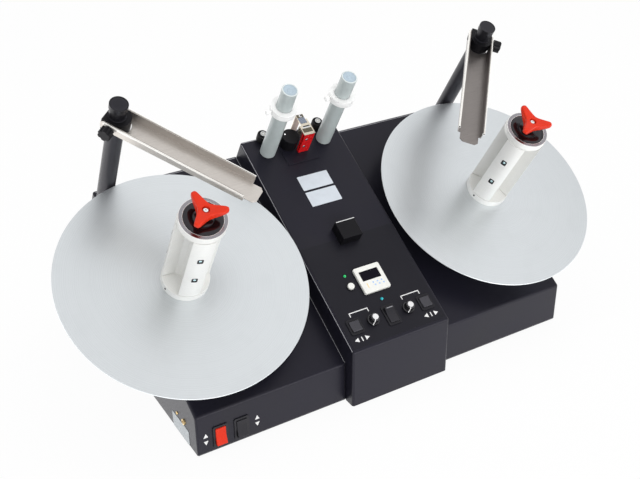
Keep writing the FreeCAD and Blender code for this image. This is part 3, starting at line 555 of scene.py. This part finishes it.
def room_in_mirrors(tree):
    """Strength of the room by height: bright walls and a dimmer ceiling."""
    direction = tree.nodes.new("ShaderNodeTexCoord")
    split = tree.nodes.new("ShaderNodeSeparateXYZ")
    tree.links.new(direction.outputs["Generated"], split.inputs[0])
    level = tree.nodes.new("ShaderNodeMapRange")
    level.interpolation_type = "SMOOTHSTEP"
    wall_end, ceiling_start = 0.15, 0.95
    for socket, value in (("From Min", wall_end), ("From Max", ceiling_start), ("To Min", WALL_LIGHT),
                          ("To Max", CEILING_LIGHT)):
        level.inputs[socket].default_value = value
    tree.links.new(split.outputs[2], level.inputs["Value"])
    return level.outputs["Result"]


def studio():
    """A white room, and a pale floor that keeps the shadow and is nearly white to the camera."""
    world = bpy.data.worlds.new("studio")
    bpy.context.scene.world = world
    world.use_nodes = True
    tree = world.node_tree
    sky = tree.nodes["Background"]
    sky.inputs["Color"].default_value = (1.0, 1.0, 1.0, 1.0)
    mirrored = by_ray(tree, MIRROR_RAYS, ROOM_LIGHT, room_in_mirrors(tree))
    tree.links.new(by_ray(tree, CAMERA_RAYS, mirrored, 1.0), sky.inputs["Strength"])

    floor = bmesh.new()
    bmesh.ops.create_grid(floor, x_segments=2, y_segments=2, size=15.0)
    mesh = bpy.data.meshes.new("floor")
    floor.to_mesh(mesh)
    floor.free()
    finish = Finish("floor_pale", (0.93, 0.93, 0.93), 0.9)
    finish.tint(finish.noise(scale=3.0), (0.95, 0.95, 0.95))
    tree = finish.tree
    glow = tree.nodes.new("ShaderNodeEmission")
    mix = tree.nodes.new("ShaderNodeMixShader")
    glow_share = by_ray(tree, MIRROR_RAYS, by_ray(tree, CAMERA_RAYS, 0.0, 0.95), 0.7)
    brightness = by_ray(tree, CAMERA_RAYS, FLOOR_IN_MIRRORS, 1.0)
    tree.links.new(brightness, glow.inputs["Strength"])
    tree.links.new(glow_share, mix.inputs[0])
    tree.links.new(finish.shader.outputs[0], mix.inputs[1])
    tree.links.new(glow.outputs[0], mix.inputs[2])
    tree.links.new(mix.outputs[0], tree.nodes["Material Output"].inputs["Surface"])
    mesh.materials.append(finish.material)
    thing = bpy.data.objects.new("floor", mesh)
    bpy.context.scene.collection.objects.link(thing)

    area_light("front", place=(0.2, -2.8, 0.5), size=(3.6, 0.9), power=44.0)
    area_light("side", place=(-2.4, 0.35, 1.75), size=(0.4, 2.2), power=9.0)
    area_light("top", place=(0.5, 0.4, 2.6), size=(4.6, 3.4), power=34.0)


bpy.context.scene.view_settings.view_transform = "Standard"
camera()
studio()


# ------------------------------------------------------------------ reels
DISC_LOW, DISC_HIGH, DISC_RADIUS = 48.0, 50.0, 200.0
CHUCK_TOP = 224.5
KNOB_SCREW_SEAT = 243.0
KNOB_TURN = {"left": 12.0, "right": 0.0}
JAW_SCREW_HEIGHTS, JAW_SCREW_SEAT = (112.0, 166.0), 34.25


def knob_shape():
    """Three-lobed hand knob: a star outline drawn out from a round recess, rising to its tips."""
    foot, low, high = 226.0, 233.0, 248.0
    reach, hole, neck = 33.0, 5.8, 8.5
    side_gap, side_angle, roundness = 10.4, math.radians(79.0), 14.0
    notch, notch_roundness = side_gap * 1.06, 9.0
    count = 192

    def outline(angle):
        """Straight sides from the tips to the notches, blended into round tips."""
        off = abs((angle - QUARTER + THIRD / 2) % THIRD - THIRD / 2)
        side = side_gap / math.cos(min(off, THIRD / 2) - side_angle)
        tip = (side ** -roundness + reach ** -roundness) ** (-1.0 / roundness)
        return (tip ** notch_roundness + notch ** notch_roundness) ** (1.0 / notch_roundness)

    def underside(radius):
        return low + 10.0 * max(0.0, radius - 9.0) / (reach - 9.0)

    def upside(radius):
        return high + 3.0 * max(0.0, radius - 11.0) / (reach - 11.0)

    # each ring: share of the way from the hole to the outline, and share of the height there
    under = [(0.30, 0.0), (0.60, 0.0), (0.84, 0.0), (0.94, 0.05), (0.985, 0.18), (1.0, 0.36)]
    over = [(1.0, 0.62), (0.985, 0.80), (0.94, 0.94), (0.86, 1.0), (0.62, 1.0), (0.36, 1.0), (0.14, 1.0),
            (0.05, 0.97)]
    shape = bmesh.new()
    stem = [(0.01, foot), (neck - 0.3, foot), (neck, foot + 0.4), (neck, low - 0.4)]
    rings = [ring(shape, count, radius, height) for radius, height in stem]
    for share, level in under + over:
        def across(angle):
            return hole + (outline(angle) - hole) * share

        def up(angle):
            bottom = underside(across(angle))
            return bottom + (upside(across(angle)) - bottom) * level

        rings.append(ring(shape, count, across, up))
    for radius, height in ((hole, high - 0.7), (hole - 0.3, high - 5.0), (0.01, high - 5.0)):
        rings.append(ring(shape, count, radius, height))
    stitch(shape, rings)
    bmesh.ops.remove_doubles(shape, verts=shape.verts, dist=0.05)
    return shape


def socket_screw(radius, height, socket, depth):
    """Domed head with a six-sided socket."""
    profile = [(0.86, 0.0), (1.0, 0.2), (1.0, 0.55), (0.9, 0.85), (0.62, 1.0)]
    shape = bmesh.new()
    count = 24

    def six_sided(angle):
        return socket * (math.cos(math.pi / 6) / math.cos(angle % (math.pi / 3) - math.pi / 6))

    rings = [ring(shape, count, radius * share, height * level) for share, level in profile]
    rings += [ring(shape, count, six_sided, level) for level in (height, height - depth)]
    return capped(shape, rings)


def pocket_shade_liner(width, height, depth, wall, rim):
    """Open box with a rim, its floor at the origin and its mouth towards +x; in a dark finish it is painted
    shade in and round a pocket.
    """
    y, z = 0.5 * width, 0.5 * height
    mouth = rounded_outline(y - wall, z - wall, 0.3, 3)
    flange = rounded_outline(y + rim, z + rim, 2.0, 3)
    case = rounded_outline(y, z, 0.4, 3)
    levels = [(mouth, wall), (mouth, depth + 0.2), (flange, depth + 0.2), (flange, depth), (case, depth),
              (case, 0.0)]
    shape = bmesh.new()
    rings = [[shape.verts.new((level, *point)) for point in outline] for outline, level in levels]
    stitch(shape, rings)
    shape.faces.new(rings[0])
    shape.faces.new(list(reversed(rings[-1])))
    return shape


def jaw(side, sign, number, metal):
    """A jaw, with two bright screw heads, each sunk in a pocket lined with painted shade."""
    name = side + "_jaw_" + number
    softened(name, 0.5, metal)
    x, y, z = joints[name + "_slide"]["axis"]
    direction = math.degrees(math.atan2(y * math.cos(TILT) + z * math.sin(TILT), x))
    heads, dark_liners = [], []
    for n in JAW_SCREW_HEIGHTS:
        heads.append((socket_screw(radius=2.7, height=2.9, socket=0.8, depth=0.9),
                      shifted(JAW_SCREW_SEAT + 0.05, 0.0, n) @ turned("Y", QUARTER)))
        # dark liner and rim: painted shade in and round each screw pocket
        dark_liners.append((pocket_shade_liner(width=5.9, height=7.5, depth=2.8, wall=0.15, rim=1.7),
                        shifted(JAW_SCREW_SEAT, 0.0, n)))
    place = on_deck(sign * REEL_X, REEL_S, 0.0, direction)
    piece(name + "_screws", merged(heads), place, BLUED, name + "_body")
    piece(name + "_pocket_painted_shade", merged(dark_liners), place, FINISH["black_plastic"], name + "_body")


def reel(side, sign):
    """Disc, chuck with its three jaws, cap disc and hand knob."""
    body, knob_body = side + "_reel", side + "_lock_knob"
    here = on_deck(sign * REEL_X, REEL_S)
    origin = here.to_translation()
    disc_metal = turned_metal(side + "_disc_satin", (0.66, 0.69, 0.71), 0.36, 1.0, 0.45, origin)
    chuck_metal = turned_metal(side + "_chuck_turned", (0.84, 0.84, 0.82), 0.40, 0.28, 0.3, origin)
    # polished ring on top of the chuck: its dark colour is a painted reflection of the dim ceiling
    face_dark_reflection = turned_metal(side + "_chuck_face_reflection_paint", (0.28, 0.27, 0.29), 0.20, 1.0, 0.1, origin)
    bore = 15.8
    rim = [(bore, DISC_LOW), (DISC_RADIUS - 0.5, DISC_LOW), (DISC_RADIUS, DISC_LOW + 0.5),
           (DISC_RADIUS, DISC_HIGH - 0.5), (DISC_RADIUS - 0.5, DISC_HIGH), (bore, DISC_HIGH)]
    piece(side + "_reel_disc", lathe(rim, 192, True), here, disc_metal, body,
          (side + "_flange",))
    softened(side + "_chuck_body", 0.5, chuck_metal)
    for number in ("1", "2", "3"):
        jaw(side, sign, number, chuck_metal)
    hole = turned("Z", math.radians(193.0)) @ shifted(38.2, 0.0, 57.0) @ turned("Y", QUARTER)
    piece(side + "_ring_screw", lathe([(0.0, 0.0), (1.7, 0.0), (1.7, 0.35), (0.0, 0.35)], 20), here @ hole,
          FINISH["black_plastic"], body)
    # dark band on the chuck's top: painted reflection
    band = [(29.9, -0.6), (30.5, 0.02), (35.4, 0.02), (35.6, -0.2), (35.6, -0.6)]
    piece(side + "_chuck_face", lathe(raised(band, CHUCK_TOP), 96, True), here, face_dark_reflection, body)
    cap = [(0.0, -2.4), (29.0, -2.4), (29.3, -2.0), (29.3, -0.3), (28.7, 0.0), (16.6, 0.0), (15.9, -0.35),
           (15.5, 0.3), (15.5, 0.9), (15.0, 1.2), (0.0, 1.2)]
    piece(side + "_cap_disc", lathe(raised(cap, CHUCK_TOP)), here, FINISH["gloss_black_plastic"], body,
          (side + "_chuck_cap",))
    turn = KNOB_TURN[side]
    piece(side + "_star_knob", knob_shape(), on_deck(sign * REEL_X, REEL_S, 0.0, turn), FINISH["red_plastic"],
          knob_body, (side + "_chuck_knob",), 60.0)
    piece(side + "_knob_screw", socket_screw(radius=3.9, height=3.0, socket=1.5, depth=1.8),
          on_deck(sign * REEL_X, REEL_S, KNOB_SCREW_SEAT, turn), CHROME, knob_body)


def raised(profile, height):
    """A profile drawn from nought, put at a height."""
    return [(radius, height + level) for radius, level in profile]


# ------------------------------------------------------------------ guides and sensor station
ROLLER_X, ROLLER_S, PIN_TOP = 55.2, 424.5, 55.4
STRAP_TOP, TAB_TOP = 91.72, 89.72


def guides(side, sign):
    """Guide roller with its plug, lip and collar, and the short roller behind it."""
    here, guide = on_deck(sign * GUIDE_X, GUIDE_S), side + "_guide"
    tube = [(6.6, 40.0), (13.2, 40.0), (13.7, 40.5), (13.7, 205.9), (13.1, 206.5), (11.9, 206.5),
            (11.4, 206.0), (11.2, 203.9), (0.0, 203.9), (0.0, 199.0), (6.6, 199.0)]
    piece(side + "_guide_tube", lathe(tube, 72), here, FINISH["grey_roller"], guide,
          (side + "_guide_roller",))
    plug = [(0.0, 204.0), (11.3, 204.0), (11.35, 206.1), (10.7, 206.2), (9.4, 205.4), (4.6, 204.9),
            (4.1, 205.5), (3.2, 205.9), (0.0, 206.0)]
    piece(side + "_guide_plug", lathe(plug, 64), here, PALE_BLUE, guide)
    lip = [(11.5, 206.4), (13.4, 206.4), (13.2, 206.75), (11.7, 206.75)]
    piece(side + "_guide_lip", lathe(lip, 64, True), here, PALE_LIP, guide)
    softened(side + "_guide_collar", 0.8, segments=3)
    softened(side + "_collar_screw", 0.4)
    tyre = [(3.0, 40.0), (9.0, 40.0), (9.8, 40.9), (9.8, 53.4), (9.3, 54.3), (8.4, 54.5), (7.6, 54.2),
            (6.9, 53.0), (3.0, 53.0)]
    piece(side + "_tyre", lathe(tyre, 64, True), on_deck(sign * ROLLER_X, ROLLER_S), FINISH["rubber"],
          side + "_short_roller", (side + "_rear_roller",))
    piece(side + "_tyre_screw", socket_screw(radius=4.2, height=1.4, socket=2.2, depth=1.0),
          on_deck(sign * ROLLER_X, ROLLER_S, PIN_TOP), DULL_STEEL, "console")


def sensor_station():
    """The slotted label sensor, its bracket and the round pedestal beside it."""
    softened("fork_sensor", 0.8)
    softened("sensor_bracket", 0.35)
    softened("sensor_plate", 0.3)
    softened("sensor_pedestal", 0.9, CLAMP_MATT, 3)
    rivet = [(0.0, -0.3), (2.9, -0.3), (2.9, 0.15), (2.3, 0.5), (0.0, 0.6)]
    rivets = [(lathe(rivet, 24), shifted(2.9, 378.7, n) @ turned("X", QUARTER)) for n in (57.3, 77.0)]
    piece("fork_rivets", merged(rivets), on_deck(), CHROME, "console")
    dome = [(0.0, 64.6), (1.6, 64.6), (1.6, 65.1), (1.1, 65.7), (0.0, 65.9)]
    piece("pedestal_stud", lathe(dome, 24), on_deck(-22.8, 407.4), CHROME, "console")
    bracket_details()


def strip(name, points, low, high, finish, place=None):
    """A thin plate of another finish on the sensor's bracket."""
    piece(name, prism(points, low, high), place or on_deck(), finish, "console")


def bracket_details():
    """Dark and pierced stretches of the folded strip over the sensor, and on it a bright stretch and a cream
    face on its rear leg, which are painted highlight on the nickel.
    """
    strip("bracket_band", rectangle(-3.6, 14.2, 383.6, 392.2), STRAP_TOP, STRAP_TOP + 0.12, DARK_NICKEL)
    # bright stretch on the strip: painted highlight
    strip("bracket_highlight_strip", rectangle(-1.0, 14.2, 392.9, 395.0), STRAP_TOP, STRAP_TOP + 0.12, BRIGHT)
    slot = prism(rectangle(0.4, 13.0, 395.2, 397.6), STRAP_TOP, STRAP_TOP + 0.14)
    hole = prism(dot(1.6, 5, 8.7, 420.6), TAB_TOP + 0.1, TAB_TOP + 0.34)
    piece("bracket_holes", merged([(slot, AS_IS), (hole, AS_IS)]), on_deck(), FINISH["black_plastic"],
          "console")
    waist = [(403.5, 91.2), (412.7, 89.75), (416.6, 89.75), (416.6, 89.9), (412.7, 89.9), (403.5, 91.35)]
    strip("bracket_waist", waist, 0.3, 13.0, STEEL_BLUE, on_deck() @ ALONG_X)
    strip("bracket_end", rectangle(0.3, 13.0, 416.9, 423.7), TAB_TOP, TAB_TOP + 0.12, DARK_NICKEL)
    strip("bracket_washer", dot(2.9, 7, 7.4, 420.3), TAB_TOP + 0.1, TAB_TOP + 0.3, BRIGHT)
    # cream face of the rear leg: painted highlight on the nickel
    strip("bracket_leg_highlight", rectangle(0.2, 13.1, 44.0, 88.0), 0.0, 0.1, LEG_HIGHLIGHT,
          on_deck(0.0, 422.75) @ turned("X", QUARTER))


# ------------------------------------------------------------------ swing arms
ARM_AZIMUTH = {"left": -51.0, "right": -127.0}
# both arms are the same brushed stainless; the right arm's much darker tone is painted shade
ARM_TONE_WITH_SHADE = {"left": (0.60, 0.565, 0.53), "right": (0.24, 0.22, 0.21)}
ARM_HALF, ARM_TOP, ARM_LENGTH, ARM_BACK = 20.75, 212.0, 223.0, 16.0


def swing_arm(side, sign):
    """Channel with a rolled hem along the top of each wall, coloured brighter as painted highlight, with
    painted shade along its inner edge and in its open tip.
    """
    metal = brushed(side + "_arm_brushed", ARM_TONE_WITH_SHADE[side], 0.32, 0.85)
    # the hem is the same stainless sheet, brighter as painted highlight
    hem_highlight_metal = brushed(side + "_hem_bright", (0.92, 0.90, 0.86), 0.2, 0.5)
    softened(side + "_arm", 0.3, metal)
    hems, open_end_shades, shade_lines_on_hems = [], [], []
    for way in (-1.0, 1.0):
        wall = way * (ARM_HALF + 0.6)
        hem = rounded_outline(2.0, 2.1, 1.6, 4, (wall, ARM_TOP - 1.9))
        hems.append((prism(hem, 5.0 - ARM_BACK, ARM_LENGTH), ALONG_X))
        # dark line along the hem's inner shoulder: painted shade
        inner = way * (ARM_HALF - 0.2)
        seam = rectangle(inner - 0.3, inner + 0.3, ARM_TOP + 0.17, ARM_TOP + 0.27)
        shade_lines_on_hems.append((prism(seam, 8.0 - ARM_BACK, ARM_LENGTH - 1.0), ALONG_X))
        # dark disc at the hem's tip: painted shade for its open end
        mouth = shifted(ARM_LENGTH - 0.05, wall, ARM_TOP - 1.7) @ turned("Y", QUARTER)
        open_end_shades.append((lathe([(0.0, 0.0), (1.4, 0.0), (1.4, 0.12), (0.0, 0.12)], 24), mouth))
    place = on_deck(sign * POST_X, POST_S, 0.0, ARM_AZIMUTH[side])
    body = side + "_swing_arm"
    piece(side + "_arm_hems", merged(hems), place, hem_highlight_metal, body)
    piece(side + "_hem_inner_shade", merged(shade_lines_on_hems), place, HEM_SHADE, body)
    piece(side + "_hem_tip_shade", merged(open_end_shades), place, FINISH["black_plastic"], body)
    softened(side + "_arm_block", 0.5, CLAMP_MATT)
    softened(side + "_clamp_knob", 0.6, CLAMP_MATT, 3)


def post_tops():
    """Posts, their caps and the caps' slightly domed faces."""
    softened("post_caps", 0.5)
    softened("arm_posts", 0.4, POST_SATIN)
    face = [(0.0, 239.25), (12.3, 239.25), (12.5, 239.35), (12.5, 239.5), (0.0, 239.55)]
    faces = [(lathe(face, 64), shifted(sign * POST_X, POST_S, 0.0)) for _, sign in SIDES]
    piece("post_cap_faces", merged(faces), on_deck(), CAP_FACE, "console")


# ------------------------------------------------------------------ controls
def decal(name, outlines, place, finish):
    """Printed marks as very thin raised pieces."""
    ink = [(prism(points, 0.0, 0.12), AS_IS) for points in outlines]
    piece(name, merged(ink), place, finish, "console")


def bar(x0, s0, x1, s1, width):
    """Corners of a straight line's stripe."""
    along = Vector((x1 - x0, s1 - s0)).normalized()
    side = Vector((-along.y, along.x)) * width * 0.5
    start, end = Vector((x0, s0)), Vector((x1, s1))
    return [tuple(point) for point in (start - side, end - side, end + side, start + side)]


def arrow(tip, length, half, direction):
    """Triangle with its point at the tip, along a unit direction."""
    across = (-direction[1], direction[0])
    back = (tip[0] - length * direction[0], tip[1] - length * direction[1])
    return [tip, (back[0] + half * across[0], back[1] + half * across[1]),
            (back[0] - half * across[0], back[1] - half * across[1])]


def panel_marks():
    """Brackets, ticks and arrows of the panel, arrows beside the front switches, and a white line on the
    index block's rear top edge, which is painted highlight.
    """
    bracket_out, bracket_in, bracket_top, bracket_foot, line = 67.8, 33.4, 63.4, 57.0, 1.6
    arrows_x, arrows_s, arrow_reach = 67.6, 16.5, 14.0
    marks = []
    for sign in (-1.0, 1.0):
        left, right = sorted((sign * bracket_out, sign * bracket_in))
        marks.append(bar(left - line / 2, bracket_top, right + line / 2, bracket_top, line))
        marks.append(bar(left, bracket_top, left, bracket_foot, line))
        marks.append(bar(right, bracket_top, right, bracket_foot, line))
        middle = sign * arrows_x
        marks.append(bar(middle, 12.4, middle, 20.2, 1.7))
        for way in (-1.0, 1.0):
            marks.append(arrow((middle + way * arrow_reach, arrows_s), 7.6, 4.0, (way, 0.0)))
    decal("panel_marks", marks, on_deck(n=OVERLAY_TOP), INK)
    arrows = []
    for x, up in ((-344.8, 42.6), (-257.0, 41.6)):
        for tip, way in ((up, 1.0), (20.8, -1.0)):
            arrows.append(arrow((x, tip), 7.6, 3.9, (0.0, way)))
    decal("switch_arrows", arrows, IN_MM @ turned("X", QUARTER), INK)
    # white line on the index block's rear top edge: painted highlight
    decal("index_edge_highlight", [bar(-17.0, 217.3, 18.5, 217.3, 1.2)], on_deck(n=INDEX_TOP), INK)


def notices():
    """Two blank plates where the photograph has printed ones."""
    plates = []
    for s0, s1 in ((302.5, 332.0), (268.5, 298.2)):
        outline = rounded_outline(29.75, 0.5 * (s1 - s0), 1.2, middle=(-0.25, 0.5 * (s0 + s1)))
        plates.append((rounded(prism(outline, 0.0, 0.5), 0.12, 1), AS_IS))
    piece("blank_notices", merged(plates), on_deck(n=HOUSING_TOP), PAPER, "console")


def painted_edge_highlights():
    """Thin bright lines of painted highlight along the left fold, the left seam and the rear folds."""
    half, thick, margin = 0.45, 0.05, 3.0
    inset = FOLD * (1.0 - math.sqrt(0.5))
    on_fold = shifted(inset - HOUSING_HALF, 0.0, HOUSING_TOP - inset) @ turned("Y", -math.pi / 4)
    seam = -HOUSING_HALF - 0.55
    lines = [(prism(rectangle(-half, half, 2.0, DECK_LENGTH - 5.0), -thick, thick), on_fold),
             (prism(rectangle(seam - half, seam + half, 2.0, DECK_LENGTH - 3.0), 0.0, 2 * thick), AS_IS)]
    for x0, x1, rear, n in ((-HOUSING_HALF, HOUSING_HALF, DECK_LENGTH + 1.0, HOUSING_TOP),
                            (-WING_END, -HOUSING_HALF, DECK_LENGTH, 0.0),
                            (HOUSING_HALF, WING_END, DECK_LENGTH, 0.0)):
        line = rectangle(x0 + margin, x1 - margin, rear - FOLD - 0.3, rear - FOLD + 0.9)
        lines.append((prism(line, n - thick, n + thick), AS_IS))
    # the pale lines are painted highlight
    piece("painted_edge_highlights", merged(lines), on_deck(), HIGHLIGHT_PAINT, "console")


def speed_control(side, sign):
    """Knurled knob with a plain crown and a white pointer."""
    x, s, rider = sign * 34.5, 39.8, side + "_speed"
    count, flutes, pointer_turn = 144, 24, 239.0
    # (radius, height, how deep the knurling is)
    levels = [(10.3, 40.1, 0.0), (10.5, 40.6, 0.0), (10.1, 43.0, 0.0), (8.6, 43.5, 0.3), (8.4, 44.2, 0.6),
              (7.9, 51.6, 0.6), (7.4, 52.5, 0.3), (6.6, 53.0, 0.0), (5.9, 53.0, 0.0)]
    shape = bmesh.new()
    rings = []
    for radius, height, depth in levels:
        def knurled(angle):
            return radius - depth * (0.5 + 0.5 * math.cos(flutes * angle))

        rings.append(ring(shape, count, knurled, height))
    piece(side + "_speed_dial", capped(shape, rings), on_deck(x, s), KNURL, rider,
          (side + "_speed_knob",))
    crown = [(0.0, 52.9), (5.1, 52.9), (5.1, 53.4), (4.5, 54.0), (0.0, 54.2)]
    piece(side + "_speed_crown", lathe(crown, 48), on_deck(x, s), CROWN, rider)
    pointer = prism([(5.2, 54.3), (8.9, 52.2), (9.4, 43.9), (10.6, 43.1), (10.0, 43.0), (8.6, 43.6),
                     (8.2, 51.6), (5.2, 53.4)], -0.7, 0.7)
    piece(side + "_speed_pointer", pointer, on_deck(x, s, 0.0, pointer_turn) @ turned("X", QUARTER), INK,
          rider)


def counter():
    """Counter case and display, with rows of faint dots and a bar for its printed keys."""
    softened("counter_case", 0.9, segments=3)
    softened("counter_display", 0.25)
    dots = []
    for k in range(3):
        for x, s in ((-2.0, 100.6), (-0.4, 95.4)):
            dots.append(dot(1.6, 4, x + 8.2 * k, s))
    decal("counter_dots", dots, on_deck(n=COUNTER_TOP), BLUE_INK)
    decal("counter_bar", [bar(-14.0, 93.4, -14.0, 102.0, 1.5)], on_deck(n=COUNTER_TOP), YELLOW_INK)


def lamps():
    """A green and a blue-green lens on the panel."""
    dome = [(0.0, 39.0), (2.4, 39.0), (2.4, 39.7), (2.0, 40.0), (1.95, 40.7), (1.7, 41.3), (1.1, 41.7),
            (0.5, 41.85), (0.0, 41.9)]
    piece("run_lamp", lathe(dome, 32), on_deck(-41.0, 128.5), LAMP_GREEN, "console",
          ("status_leds",))
    piece("sync_lamp", lathe(dome, 32), on_deck(0.0, 70.0), LAMP_CYAN, "console")


def end_wall():
    """Bare silver rating plate and a small brass screw on the left end."""
    wall_x = -0.3595
    outline = rounded_outline(14.0, 31.0, 1.5, middle=(18.0, 61.0))
    plate_place = shifted(wall_x, 0.0, 0.0) @ IN_MM @ turned("Y", -QUARTER)
    piece("rating_plate", rounded(prism(outline, 0.0, 0.5), 0.12, 1), plate_place, RATING_GREY, "console")
    screw_place = shifted(wall_x, 0.0722, 0.040) @ turned("Y", -QUARTER) @ IN_MM
    piece("end_screw", socket_screw(radius=2.6, height=1.6, socket=1.2, depth=0.8), screw_place,
          FINISH["brass"], "console")


def sync_switch():
    """Satin paddle with a painted highlight line across its raised end."""
    softened("sync_rocker", 0.6, PADDLE)
    paddle_slope = math.radians(17.1)
    # pale line across the raised end: painted highlight
    piece("sync_highlight_line", prism(rectangle(-5.0, 6.5, -0.55, 0.55), 0.0, 0.15),
          on_deck(0.0, 49.4, 46.17) @ turned("X", paddle_slope), HIGHLIGHT_PAINT, "sync")


# ------------------------------------------------------------------ the machine
for node in ("left_wing_cover", "right_wing_cover", "center_housing"):
    softened(node, 0.5, bend=FOLD)
softened("index_block", 1.0, DARK_BLOCK, 3)
softened("switch_bodies", 0.3)
sync_switch()
softened("power_rocker", 0.6)
softened("sensor_rocker", 0.6)
softened("reset_button", 0.8, segments=3)
for side, sign in SIDES:
    reel(side, sign)
    guides(side, sign)
    speed_control(side, sign)
    softened(side + "_direction_rocker", 0.9, ROCKER_LIGHTENED, 3)
    swing_arm(side, sign)
post_tops()
sensor_station()
panel_marks()
painted_edge_highlights()
notices()
counter()
lamps()
end_wall()
